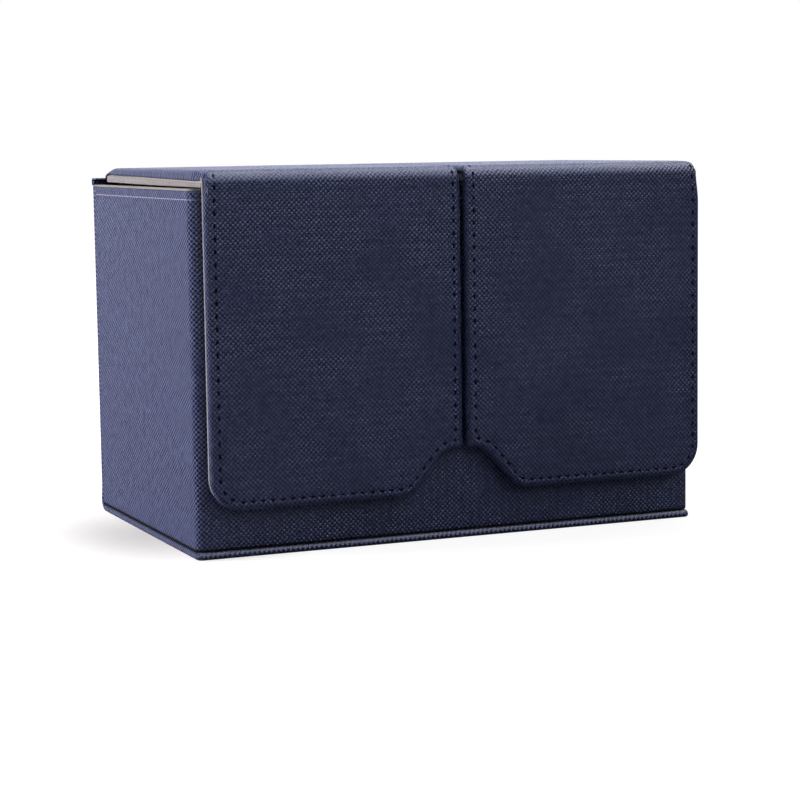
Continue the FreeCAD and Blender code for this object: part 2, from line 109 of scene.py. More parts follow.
class CardBoxShape(bpy.types.PropertyGroup):
    """Sizes of the folded and rounded skins."""

    rim_round: bpy.props.FloatProperty(
        name="Rim Round", description="How far a lid's rim rolls over",
        default=1.45 * MM, min=0.1 * MM, unit="LENGTH", precision=5)
    panel_rim_round: bpy.props.FloatProperty(
        name="Panel Rim Round", description="How far the base and back panel's rim rolls over",
        default=0.75 * MM, min=0.1 * MM, unit="LENGTH", precision=5)
    panel_crease: bpy.props.FloatProperty(
        name="Panel Crease", description="How far the base's upper rim rolls away from the walls",
        default=1.45 * MM, min=0.1 * MM, unit="LENGTH", precision=5)
    panel_corner: bpy.props.FloatProperty(
        name="Panel Corner", description="Radius of the base panel's front corners in plan",
        default=1.9 * MM, min=1 * MM, unit="LENGTH", precision=5)
    panel_bend: bpy.props.FloatProperty(
        name="Panel Bend", description="Outer radius of the bend from base to back",
        default=3.5 * MM, min=2.5 * MM, unit="LENGTH", precision=5)
    wall_corner: bpy.props.FloatProperty(
        name="Wall Corner", description="Radius of the body's front corners in plan",
        default=2.6 * MM, min=2.2 * MM, unit="LENGTH", precision=5)
    lid_back_round: bpy.props.FloatProperty(
        name="Lid Back Round", description="Length of the long drop at a lid's back edge",
        default=8.5 * MM, min=1 * MM, unit="LENGTH", precision=5)
    lid_skirt: bpy.props.FloatProperty(
        name="Lid Skirt", description="How much lower a lid's outer skin ends at the fold than at its back",
        default=1.1 * MM, min=0, unit="LENGTH", precision=5)
    flap_corner: bpy.props.FloatProperty(
        name="Flap Corner", description="Radius of a flap's lower outer corner",
        default=9.0 * MM, min=1 * MM, unit="LENGTH", precision=5)
    notch_height: bpy.props.FloatProperty(
        name="Notch Height", description="Height of the finger notch over the flaps' lower edge",
        default=12.8 * MM, min=1 * MM, unit="LENGTH", precision=5)
    notch_half_width: bpy.props.FloatProperty(
        name="Notch Half Width", description="Half the notch's width at the flaps' lower edge",
        default=16.3 * MM, min=1 * MM, unit="LENGTH", precision=5)
    notch_slope: bpy.props.FloatProperty(
        name="Notch Slope", description="Angle of the notch's sides from level",
        default=math.radians(50), subtype="ANGLE")
    notch_top_round: bpy.props.FloatProperty(
        name="Notch Top Round", description="Radius where the notch's side turns level",
        default=6.5 * MM, min=0.1 * MM, unit="LENGTH", precision=5)
    notch_foot_round: bpy.props.FloatProperty(
        name="Notch Foot Round", description="Radius where the notch's side meets the lower edge",
        default=7.0 * MM, min=0.1 * MM, unit="LENGTH", precision=5)
    hinge_round: bpy.props.FloatProperty(
        name="Hinge Round", description="Radius of the hinge strips' bends",
        default=0.55 * MM, min=0.5 * MM, unit="LENGTH", precision=5)
    hinge_thickness: bpy.props.FloatProperty(
        name="Hinge Thickness", description="Thickness of the hinge strips' skin",
        default=0.45 * MM, min=0.1 * MM, max=0.5 * MM, unit="LENGTH", precision=5)
    hinge_rise: bpy.props.FloatProperty(
        name="Hinge Rise", description="Slope of the hinge strips where they climb to the lids",
        default=math.radians(75), subtype="ANGLE")
    hinge_tuck: bpy.props.FloatProperty(
        name="Hinge Tuck", description="How far the hinge strips go down the back and under the lids",
        default=1.6 * MM, min=0.1 * MM, unit="LENGTH", precision=5)
    fold_soft_width: bpy.props.FloatProperty(
        name="Soft Fold Width", description="How far in from a lid's edge the fold sinks",
        default=4.6 * MM, min=1 * MM, unit="LENGTH", precision=5)
    fold_soft_reach: bpy.props.FloatProperty(
        name="Soft Fold Reach", description="How far the sinking reaches past each end of the bend",
        default=8.0 * MM, min=1 * MM, unit="LENGTH", precision=5)
    fold_soft_drop: bpy.props.FloatProperty(
        name="Soft Fold Drop", description="How deep the fold sinks at a lid's edge",
        default=1.3 * MM, min=0, max=1.8 * MM, unit="LENGTH", precision=5)
    fold_soft_pull: bpy.props.FloatProperty(
        name="Soft Fold Pull", description="How far a lid's edge pulls in at the fold",
        default=0.6 * MM, min=0, unit="LENGTH", precision=5)
    fold_soft_inside: bpy.props.FloatProperty(
        name="Soft Fold Inside", description="Share of the sinking at the edge by the slit",
        default=0.75, min=0, max=1, subtype="FACTOR")
    pad_gap: bpy.props.FloatProperty(
        name="Pad Gap", description="How far a lid's pad lifts off the walls at its back end",
        default=0.45 * MM, min=0, unit="LENGTH", precision=5)
    slit_setback: bpy.props.FloatProperty(
        name="Slit Setback", description="How far a flap's pad stays back from the slit",
        default=0.8 * MM, min=0, unit="LENGTH", precision=5)
    drawer_notch_radius: bpy.props.FloatProperty(
        name="Drawer Notch Radius", description="Radius of the finger notch in the drawer's face",
        default=9.0 * MM, min=2 * MM, unit="LENGTH", precision=5)


class CardBoxStitching(bpy.types.PropertyGroup):
    """Sizes and colours of the stitching."""

    margin: bpy.props.FloatProperty(
        name="Margin", description="Distance from a flap's edge to its stitching",
        default=2.5 * MM, min=1 * MM, unit="LENGTH", precision=5)
    sideways: bpy.props.FloatProperty(
        name="Sideways", description="How far the stitching sits to the right of the middle of its sheet",
        default=0.15 * MM, unit="LENGTH", precision=5)
    pitch: bpy.props.FloatProperty(
        name="Pitch", description="Distance from one stitch to the next",
        default=3.42 * MM, min=1 * MM, unit="LENGTH", precision=5)
    pitch_across: bpy.props.FloatProperty(
        name="Pitch Across", description="Distance between stitches in the rows along the lower edges",
        default=2.9 * MM, min=1 * MM, unit="LENGTH", precision=5)
    length: bpy.props.FloatProperty(
        name="Length", description="Visible length of one stitch",
        default=1.45 * MM, min=0.2 * MM, unit="LENGTH", precision=5)
    thickness: bpy.props.FloatProperty(
        name="Thickness", description="Width of the thread",
        default=0.95 * MM, min=0.1 * MM, unit="LENGTH", precision=5)
    height: bpy.props.FloatProperty(
        name="Height", description="Height of one stitch, half of it under the furrow's bottom",
        default=0.42 * MM, min=0.1 * MM, unit="LENGTH", precision=5)
    groove_width: bpy.props.FloatProperty(
        name="Groove Width", description="Width of the furrow that the stitches pull",
        default=1.3 * MM, min=0.2 * MM, unit="LENGTH", precision=5)
    groove_depth: bpy.props.FloatProperty(
        name="Groove Depth", description="Depth of the furrow that the stitches pull",
        default=0.18 * MM, min=0, unit="LENGTH", precision=5)
    colour: bpy.props.FloatVectorProperty(
        name="Thread", description="Colour of the thread on the lids and flaps",
        default=(0.0012, 0.0016, 0.0050), size=3, min=0, max=1, subtype="COLOR")
    seam_colour: bpy.props.FloatVectorProperty(
        name="Seam Thread", description="Colour of the thread along the top of the walls",
        default=(0.24, 0.24, 0.37), size=3, min=0, max=1, subtype="COLOR")
    seam_drop: bpy.props.FloatProperty(
        name="Seam Drop", description="Distance from the top of the walls to their seam",
        default=2.4 * MM, min=0, unit="LENGTH", precision=5)
    seam_pitch: bpy.props.FloatProperty(
        name="Seam Pitch", description="Distance from one stitch of the wall seam to the next",
        default=3.0 * MM, min=1 * MM, unit="LENGTH", precision=5)
    seam_length: bpy.props.FloatProperty(
        name="Seam Stitch", description="Visible length of one stitch of the wall seam",
        default=2.85 * MM, min=0.2 * MM, unit="LENGTH", precision=5)
    seam_thickness: bpy.props.FloatProperty(
        name="Seam Thickness", description="Width of the wall seam's thread",
        default=0.42 * MM, min=0.1 * MM, unit="LENGTH", precision=5)


class CardBoxSkin(bpy.types.PropertyGroup):
    """The coated skin's colour and grain."""

    colour: bpy.props.FloatVectorProperty(
        name="Colour", description="Colour of the skin on the tops of its grain",
        default=(0.086, 0.104, 0.228), size=3, min=0, max=1, subtype="COLOR")
    # The valley colour is partly the skin's own darker tone and partly painted shade that falls between the
    # grain.
    valley_colour_and_shade: bpy.props.FloatVectorProperty(
        name="Valley Colour", description="Colour of the skin between its grain",
        default=(0.0015, 0.0035, 0.0190), size=3, min=0, max=1, subtype="COLOR")
    grain_pitch: bpy.props.FloatProperty(
        name="Grain Pitch", description="Distance between the diagonal rows of the grain",
        default=1.4 * MM, min=0.2 * MM, unit="LENGTH", precision=5)
    side_stretch: bpy.props.FloatProperty(
        name="Side Stretch", description="How much coarser the grain is along the side walls",
        default=1.29, min=0.5)
    grain_depth: bpy.props.FloatProperty(
        name="Grain Depth", description="Height of the grain",
        default=0.08 * MM, min=0, unit="LENGTH", precision=5)
    roughness: bpy.props.FloatProperty(
        name="Roughness", description="Roughness of the skin",
        default=0.42, min=0, max=1, subtype="FACTOR")
    gloss: bpy.props.FloatProperty(
        name="Gloss", description="Strength of the skin's shine",
        default=0.2, min=0, max=1, subtype="FACTOR")


class CardBoxFleece(bpy.types.PropertyGroup):
    """The lining's colour and pile."""

    colour: bpy.props.FloatVectorProperty(
        name="Colour", description="Colour of the fleece",
        default=(0.202, 0.208, 0.248), size=3, min=0, max=1, subtype="COLOR")
    shade: bpy.props.FloatVectorProperty(
        name="Shade", description="Colour deep in the fleece",
        default=(0.155, 0.15, 0.17), size=3, min=0, max=1, subtype="COLOR")
    pile: bpy.props.FloatProperty(
        name="Pile", description="Height of the fleece's pile",
        default=0.22 * MM, min=0, unit="LENGTH", precision=5)


class CardBoxStage(bpy.types.PropertyGroup):
    """The camera, the lamps and the floor."""

    camera_place: bpy.props.FloatVectorProperty(
        name="Camera Place", description="Where the camera stands",
        default=(-257.08 * MM, -610.29 * MM, 112.05 * MM), size=3, subtype="TRANSLATION")
    camera_yaw: bpy.props.FloatProperty(
        name="Camera Yaw", description="How far the camera turns right from straight ahead",
        default=math.radians(23.079), subtype="ANGLE")
    camera_pitch: bpy.props.FloatProperty(
        name="Camera Pitch", description="How far the camera looks down",
        default=math.radians(6.664), subtype="ANGLE")
    camera_roll: bpy.props.FloatProperty(
        name="Camera Roll", description="How far the camera leans",
        default=math.radians(-0.822), subtype="ANGLE")
    lens: bpy.props.FloatProperty(
        name="Lens", description="Focal length on a 36 mm sensor, in millimetres",
        default=99.99, min=1)
    left_colour: bpy.props.FloatVectorProperty(
        name="Left Lamp Colour", description="Colour of the lamp on the left, a little warm",
        default=(1.0, 0.91, 0.80), size=3, min=0, max=1, subtype="COLOR")
    left_power: bpy.props.FloatProperty(
        name="Left Lamp", description="Power of the large lamp on the left",
        default=36.0, min=0, unit="POWER")
    front_power: bpy.props.FloatProperty(
        name="Front Lamp", description="Power of the weak lamp in front",
        default=0.5, min=0, unit="POWER")
    top_power: bpy.props.FloatProperty(
        name="Top Lamp", description="Power of the lamp over the object",
        default=3.0, min=0, unit="POWER")
    sky_strength: bpy.props.FloatProperty(
        name="Sky", description="Strength of the light from all round",
        default=0.12, min=0)
    screen_strength: bpy.props.FloatProperty(
        name="Screen", description="Strength of the screen at the back right, as it mirrors in the skin",
        default=1.3, min=0)
    ceiling_strength: bpy.props.FloatProperty(
        name="Ceiling", description="Strength of the bright ceiling, as it mirrors in the skin",
        default=12.0, min=0)


SETTINGS = {
    "card_box_shape": CardBoxShape,
    "card_box_stitching": CardBoxStitching,
    "card_box_skin": CardBoxSkin,
    "card_box_fleece": CardBoxFleece,
    "card_box_stage": CardBoxStage,
}


# ---- Shape helpers --------------------------------------------------------------------


class FoldPath:
    """The side view of a bent sheet: straight runs and round bends of its outer face.

    Depth is measured from the outer face, to the left of the way that the path goes."""

    def __init__(self, start, heading_degrees):
        self.point = Vector(start)
        self.heading = math.radians(heading_degrees)
        self.length = 0.0
        self.runs = []
        self.bends = []

    def straight(self, length):
        """Go straight on."""
        self.runs.append((self.length, self.point.copy(), self.heading, None))
        self.point += length * Vector((math.cos(self.heading), math.sin(self.heading)))
        self.length += length

    def bend(self, radius, turn_degrees):
        """Turn left by a positive angle or right by a negative one."""
        turn = math.radians(turn_degrees)
        toward = math.copysign(1, turn)
        left = Vector((-math.sin(self.heading), math.cos(self.heading)))
        centre = self.point + toward * radius * left
        self.runs.append((self.length, centre, self.heading, toward * radius))
        self.bends.append((self.length, self.length + radius * abs(turn)))
        self.length += radius * abs(turn)
        self.heading += turn
        self.point = centre - toward * radius * Vector((-math.sin(self.heading), math.cos(self.heading)))

    def place(self, distance, depth):
        """The point at a distance along the path and a depth under its outer face."""
        run = self.runs[0]
        for candidate in self.runs:
            if candidate[0] <= distance:
                run = candidate
        start, anchor, heading, radius = run
        if radius is None:
            way = Vector((math.cos(heading), math.sin(heading)))
            left = Vector((-way.y, way.x))
            return anchor + way * (distance - start) + left * depth
        angle = heading + (distance - start) / radius
        left = Vector((-math.sin(angle), math.cos(angle)))
        return anchor - left * (radius - depth)

    def cuts(self):
        """The distances at which a flat sheet needs a cut to follow the bends."""
        distances = []
        for start, end in self.bends:
            distances += [start + (end - start) * index / BEND_STEPS for index in range(BEND_STEPS + 1)]
        return distances


def round_corner(bm, vert, radius, segments):
    """Round one corner of a flat face."""
    first, second = [(edge.other_vert(vert).co - vert.co).normalized() for edge in vert.link_edges]
    turn = math.pi - first.angle(second)
    bmesh.ops.bevel(bm, geom=[vert], offset=radius * math.tan(turn / 2), offset_type="OFFSET",
                    affect="VERTICES", segments=segments, profile=0.5, material=-1)


def flat_face(corners, segments=12):
    """A flat face in X and Y, its corners given as (x, y, radius)."""
    bm = bmesh.new()
    verts = [bm.verts.new((x, y, 0)) for x, y, radius in corners]
    bm.faces.new(verts)
    for vert, (x, y, radius) in zip(verts, corners):
        if radius > 0:
            round_corner(bm, vert, radius, segments)
    return bm


def thicken(bm, thickness, rim, far_rim=0.0):
    """Give a flat face a thickness along Z and roll its rim over, at depth 0 and at the far side."""
    made = bmesh.ops.extrude_face_region(bm, geom=list(bm.faces))
    for item in made["geom"]:
        if isinstance(item, bmesh.types.BMVert):
            item.co.z = thickness
    bmesh.ops.recalc_face_normals(bm, faces=bm.faces)
    for depth, size in ((0.0, rim), (thickness, far_rim)):
        if size > 0:
            bevel_edges(bm, rim_edges(bm, depth), size, RIM_SEGMENTS)
    return bm


def rim_edges(bm, depth):
    """The edges where a sheet's flat side at one depth meets its side walls."""
    bm.normal_update()
    return [edge for edge in bm.edges
            if all(abs(vert.co.z - depth) < SAME_PLACE for vert in edge.verts)
            and any(abs(face.normal.z) < WALL_NORMAL for face in edge.link_faces)]


def bevel_edges(bm, edges, size, segments):
    """Round some edges over."""
    bmesh.ops.bevel(bm, geom=edges, offset=size, offset_type="OFFSET", affect="EDGES",
                    segments=segments, profile=0.5, material=-1)


def outer_face(bm):
    """The large face at depth 0."""
    level = [face for face in bm.faces
             if face.normal.z < -LEVEL_NORMAL and face.calc_center_median().z < SAME_PLACE]
    return max(level, key=lambda face: face.calc_area())


def inset(bm, face, width):
    """Move a face's rim in by a width."""
    bmesh.ops.inset_region(bm, faces=[face], thickness=width, use_even_offset=True, use_boundary=True)


def add_ring(bm, face, corners):
    """Cut a ring into a flat face along an outline that lies inside it."""
    inset(bm, face, RING_START)
    guide = flat_face(corners)
    for vert, goal in zip(face.verts, guide.faces[:][0].verts):
        vert.co = goal.co
    guide.free()


def lay_sheet_map(bm):
    """Lay a UV map in metres on a flat sheet, carried over its rim so that the grain keeps its scale."""
    layer = bm.loops.layers.uv.new(SHEET_MAP)
    bm.normal_update()
    for face in bm.faces:
        on_rim = abs(face.normal.z) < RIM_NORMAL
        outward = Vector(face.normal.xy).normalized() if on_rim else Vector((0, 0))
        for loop in face.loops:
            place = loop.vert.co
            loop[layer].uv = Vector(place.xy) + outward * place.z


def steps_over(length, count):
    """Even steps over a length, without the step at 0."""
    return [length * index / count for index in range(1, count + 1)]


def cut_across(bm, distances, axis=1):
    """Cut a flat sheet at distances along one of its axes."""
    normal = Vector((0, 0, 0))
    normal[axis] = 1
    for distance in distances:
        geometry = list(bm.verts) + list(bm.edges) + list(bm.faces)
        bmesh.ops.bisect_plane(bm, geom=geometry, dist=MERGE_DISTANCE,
                               plane_co=normal * distance, plane_no=normal)


def fold_over(bm, path, across_axis):
    """Bend a flat sheet along a path. Its X becomes the axis across, its Y runs along the path."""
    bmesh.ops.connect_verts_concave(bm, faces=bm.faces)
    for vert in bm.verts:
        across, distance, depth = vert.co
        spot = path.place(distance, depth)
        if across_axis == "X":
            vert.co = (across, spot.x, spot.y)
        else:
            vert.co = (spot.x, spot.y, across)


def hard_edges(bm):
    """The edges where two faces meet too sharply to be shaded as one."""
    return [edge for edge in bm.edges if edge.is_manifold and edge.calc_face_angle() > SHARP_ANGLE]


def make_piece(name, bm, material):
    """Turn a bmesh into a smooth-shaded object at the origin, with its hard edges kept."""
    bmesh.ops.dissolve_degenerate(bm, dist=MERGE_DISTANCE, edges=bm.edges)
    for face in bm.faces:
        face.smooth = True
    for edge in hard_edges(bm):
        edge.smooth = False
    mesh = bpy.data.meshes.new(name)
    bm.to_mesh(mesh)
    bm.free()
    mesh.materials.append(material)
    piece = bpy.data.objects.new(name, mesh)
    bpy.context.scene.collection.objects.link(piece)
    return piece


def spaced_along(points, pitch, pitch_across=None):
    """Places at a pitch along a line of points, with the way that the line goes there.

    Where the line runs along X the pitch can be another one."""
    stretch = pitch / (pitch_across or pitch)
    places = []
    travelled = 0.0
    following = pitch / 2
    for start, end in zip(points, points[1:]):
        length = Vector(((end.x - start.x) * stretch, end.y - start.y)).length
        while following <= travelled + length:
            part = (following - travelled) / length
            places.append((start.lerp(end, part), (end - start).normalized()))
            following += pitch
        travelled += length
    return places


def add_stitch(bm, place, way, length, thickness, height):
    """Add one stitch, a low bead along a flat sheet, with its poles at its ends."""
    side = Vector((-way.y, way.x, 0))
    halves = Matrix((way * length / 2, side * thickness / 2, Vector((0, 0, height / 2))))
    matrix = halves.transposed().to_4x4()
    matrix.translation = place
    poles_along = Matrix.Rotation(math.radians(90), 4, "Y")
    bmesh.ops.create_uvsphere(bm, u_segments=8, v_segments=6, radius=1, matrix=matrix @ poles_along)


def dress(node, material):
    """Give a construction node a material."""
    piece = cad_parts[node]
    if not piece.material_slots:
        piece.data.materials.append(material)
    for slot in piece.material_slots:
        slot.material = material


# ---- Material helpers -----------------------------------------------------------------


def new_material(name):
    """An empty node material with its shader and output."""
    material = bpy.data.materials.new(name)
    material.use_nodes = True
    tree = material.node_tree
    tree.nodes.clear()
    shader = tree.nodes.new("ShaderNodeBsdfPrincipled")
    output = tree.nodes.new("ShaderNodeOutputMaterial")
    tree.links.new(shader.outputs["BSDF"], output.inputs["Surface"])
    return material, tree, shader


def fill_inputs(tree, node, inputs):
    """Fill a node's inputs with values or links."""
    for name, value in inputs.items():
        if isinstance(value, bpy.types.NodeSocket):
            tree.links.new(value, node.inputs[name])
        else:
            node.inputs[name].default_value = value


def add_node(tree, kind, inputs=None, **settings):
    """Add a node, set its properties and fill its inputs."""
    node = tree.nodes.new("ShaderNode" + kind)
    for name, value in settings.items():
        setattr(node, name, value)
    fill_inputs(tree, node, inputs or {})
    return node


def object_place(tree):
    """The place on a piece, in metres."""
    return add_node(tree, "TexCoord").outputs["Object"]


def math_node(tree, operation, *values):
    """The result of a sum on numbers."""
    return add_node(tree, "Math", dict(enumerate(values)), operation=operation).outputs["Value"]


def vector_node(tree, operation, *vectors):
    """The result of a sum on vectors, where it is a vector."""
    return add_node(tree, "VectorMath", dict(enumerate(vectors)), operation=operation).outputs["Vector"]


def measure_node(tree, operation, *vectors):
    """The result of a sum on vectors, where it is a number."""
    return add_node(tree, "VectorMath", dict(enumerate(vectors)), operation=operation).outputs["Value"]


def noise_node(tree, vector, scale, detail, roughness=0.5, output="Fac"):
    """A noise pattern."""
    inputs = {"Vector": vector, "Scale": scale, "Detail": detail, "Roughness": roughness}
    return add_node(tree, "TexNoise", inputs).outputs[output]


def spread_node(tree, value, low, high, start=0.0, end=1.0, curve="LINEAR"):
    """A value from start to end spread from low to high, and held past its ends."""
    inputs = {"Value": value, "From Min": start, "From Max": end, "To Min": low, "To Max": high}
    return add_node(tree, "MapRange", inputs, interpolation_type=curve).outputs["Result"]


def mix_node(tree, factor, first, second):
    """A mix of two numbers."""
    return add_node(tree, "Mix", {0: factor, 2: first, 3: second}).outputs[0]


def mix_colour_node(tree, factor, first, second):
    """A mix of two colours."""
    return add_node(tree, "Mix", {0: factor, 6: first, 7: second}, data_type="RGBA").outputs[2]


def clouded_colour_node(tree, cloud, factor, first, second, gain):
    """A mix of two colours, both of them lighter by a gain where a cloud is."""
    plain = mix_colour_node(tree, factor, with_alpha(first), with_alpha(second))
    paler = mix_colour_node(tree, factor, with_alpha(first, gain), with_alpha(second, gain))
    return mix_colour_node(tree, cloud, plain, paler)


def bump_node(tree, height, distance):
    """A bump from a height between 0 and 1."""
    inputs = {"Height": height, "Distance": distance, "Strength": 1.0}
    return add_node(tree, "Bump", inputs).outputs["Normal"]


def with_alpha(colour, gain=1.0):
    """A colour for a node socket, made lighter or darker."""
    return (colour[0] * gain, colour[1] * gain, colour[2] * gain, 1.0)


# ---- Materials ------------------------------------------------------------------------


def wandering_place(tree, place):
    """A place that wanders by up to a quarter of a millimetre, as hand-laid skin does."""
    drift = noise_node(tree, place, scale=70, detail=1, output="Color")
    drift = vector_node(tree, "SUBTRACT", drift, (0.5, 0.5, 0.5))
    drift = vector_node(tree, "MULTIPLY", drift, (0.5 * MM, 0.5 * MM, 0.5 * MM))
    return vector_node(tree, "ADD", place, drift)


def wave_node(tree, distance, pitch):
    """A wave from -1 to 1 that comes round once in a pitch."""
    return math_node(tree, "COSINE", math_node(tree, "MULTIPLY", distance, 2 * math.pi / pitch))


def grain_node(tree, place, pitch, contrast):
    """The height of a diamond grain: two crossing waves that beat along the sheet, worn and mottled."""
    axes = add_node(tree, "SeparateXYZ", {0: wandering_place(tree, place)}).outputs
    rising = wave_node(tree, math_node(tree, "ADD", axes["X"], axes["Y"]), pitch)
    falling = wave_node(tree, math_node(tree, "SUBTRACT", axes["X"], axes["Y"]), pitch)
    weave = math_node(tree, "MULTIPLY", math_node(tree, "ADD", rising, falling), 0.25)
    beat = math_node(tree, "MULTIPLY_ADD", wave_node(tree, axes["Y"], 1.78 * pitch), 0.3, 1.2)
    weave = math_node(tree, "MULTIPLY", weave, beat)
    wear_and_painted_contrast = noise_node(tree, place, scale=60, detail=2)
    # The contrast sets how strongly the grain shows; the walls' copy has it higher, partly painting in the
    # raking side light on them.
    wear_and_painted_contrast = spread_node(tree, wear_and_painted_contrast, contrast, contrast + 0.65, start=0.35, end=0.6)
    mottle = noise_node(tree, place, scale=420, detail=3, roughness=0.6)
    mottle = spread_node(tree, mottle, -0.22, 0.22, start=0.3, end=0.7)
    return math_node(tree, "ADD", math_node(tree, "MULTIPLY_ADD", weave, wear_and_painted_contrast, 0.45), mottle)


def painted_crease_shade_node(tree):
    """Painted shade: a factor that is low in the crease where the walls stand on the base, darkening the
    skin's colour there; it stays 1 on the back panel.
    """
    axes = add_node(tree, "SeparateXYZ", {0: object_place(tree)}).outputs
    away = math_node(tree, "ABSOLUTE", math_node(tree, "SUBTRACT", axes["Z"], BODY_LOW.z))
    shade = spread_node(tree, away, 0.12, 1.0, start=0.35 * MM, end=0.95 * MM, curve="SMOOTHSTEP")
    return math_node(tree, "MAXIMUM", shade, math_node(tree, "GREATER_THAN", axes["Y"], BODY_HIGH.y))


def make_skin_material(name, contrast, creased=False):
    """Coated skin with a fine diamond grain, laid on a sheet's own map, its valleys partly painted shade."""
    settings = bpy.context.scene.card_box_skin
    material, tree, shader = new_material(name)
    place = add_node(tree, "UVMap", uv_map=SHEET_MAP).outputs["UV"]
    grain = grain_node(tree, place, settings.grain_pitch, contrast)
    grit = noise_node(tree, place, scale=3200, detail=2)
    height = math_node(tree, "ADD", grain, math_node(tree, "MULTIPLY", grit, 0.25))
    cloud = noise_node(tree, place, scale=38, detail=3)
    # The grain's valleys take the darker colour, partly the skin's own tone and partly painted shade; a cloud
    # makes some places paler.
    colour = clouded_colour_node(tree, cloud, grain, settings.valley_colour_and_shade, settings.colour, 1.16)
    # Painted shade: the colour darkens in the crease where the walls stand on the base.
    if creased:
        colour = vector_node(tree, "MULTIPLY", colour, painted_crease_shade_node(tree))
    fill_inputs(tree, shader, {
        "Base Color": colour,
        "Roughness": spread_node(tree, cloud, settings.roughness - 0.06, settings.roughness + 0.06),
        "Specular IOR Level": settings.gloss,
        "Normal": bump_node(tree, height, settings.grain_depth),
    })
    return material


def make_thread_material(name, colour):
    """Twisted thread."""
    material, tree, shader = new_material(name)
    fuzz = noise_node(tree, object_place(tree), scale=5200, detail=3)
    fill_inputs(tree, shader, {
        "Base Color": mix_colour_node(tree, fuzz, with_alpha(colour, 0.6), with_alpha(colour, 1.4)),
        "Roughness": 0.62,
        "Specular IOR Level": 0.02,
        "Normal": bump_node(tree, fuzz, 0.06 * MM),
    })
    return material


def make_fleece_material(name):
    """Short grey fleece."""
    settings = bpy.context.scene.card_box_fleece
    material, tree, shader = new_material(name)
    place = object_place(tree)
    fibres = noise_node(tree, place, scale=2600, detail=4, roughness=0.7)
    clumps = noise_node(tree, place, scale=520, detail=3, roughness=0.6)
    pile = math_node(tree, "MULTIPLY_ADD", fibres, 0.55, math_node(tree, "MULTIPLY", clumps, 0.45))
    raised = spread_node(tree, pile, 0.0, 1.0, start=0.38, end=0.62)
    nap = noise_node(tree, place, scale=45, detail=2)
    fill_inputs(tree, shader, {
        "Base Color": clouded_colour_node(tree, nap, raised, settings.shade, settings.colour, 1.15),
        "Roughness": 0.95,
        "Specular IOR Level": 0.05,
        "Sheen Weight": 0.25,
        "Sheen Roughness": 0.5,
        "Normal": bump_node(tree, pile, settings.pile),
    })
    return material


def make_board_material():
    """Grey board, pressed from paper pulp."""
    material, tree, shader = new_material("grey_board")
    pulp = noise_node(tree, object_place(tree), scale=900, detail=5, roughness=0.7)
    fill_inputs(tree, shader, {
        "Base Color": mix_colour_node(tree, pulp, (0.26, 0.25, 0.235, 1), (0.40, 0.385, 0.36, 1)),
        "Roughness": 0.9,
        "Normal": bump_node(tree, pulp, 0.05 * MM),
    })
    return material


def make_magnet_material():
    """Nickel plating with fine scratches."""
    material, tree, shader = new_material("nickel_plate")
    squeezed = vector_node(tree, "MULTIPLY", object_place(tree), (9000.0, 900.0, 900.0))
    scratches = noise_node(tree, squeezed, scale=1, detail=3)
    fill_inputs(tree, shader, {
        "Base Color": mix_colour_node(tree, scratches, (0.48, 0.47, 0.45, 1), (0.62, 0.61, 0.59, 1)),
        "Metallic": 1.0,
        "Roughness": spread_node(tree, scratches, 0.22, 0.38),
    })
    return material


def material_named(name, make, **values):
    """A material that is made the first time it is asked for."""
    return bpy.data.materials.get(name) or make(name, **values)


def skin_material():
    """The skin on the lids, the flaps, the hinges and the drawer."""
    return material_named("grained_skin", make_skin_material, contrast=0.88)


def creased_skin_material():
    """The skin on the base and the walls, whose grain stands out more, partly as painted light, and which has
    painted shade in the crease where the walls stand on the base.
    """
    return material_named("creased_skin", make_skin_material, contrast=1.15, creased=True)


def fleece_material():
    """The fleece on the pads and the linings."""
    return material_named("grey_fleece", make_fleece_material)


# ---- Base and back panels, body -------------------------------------------------------


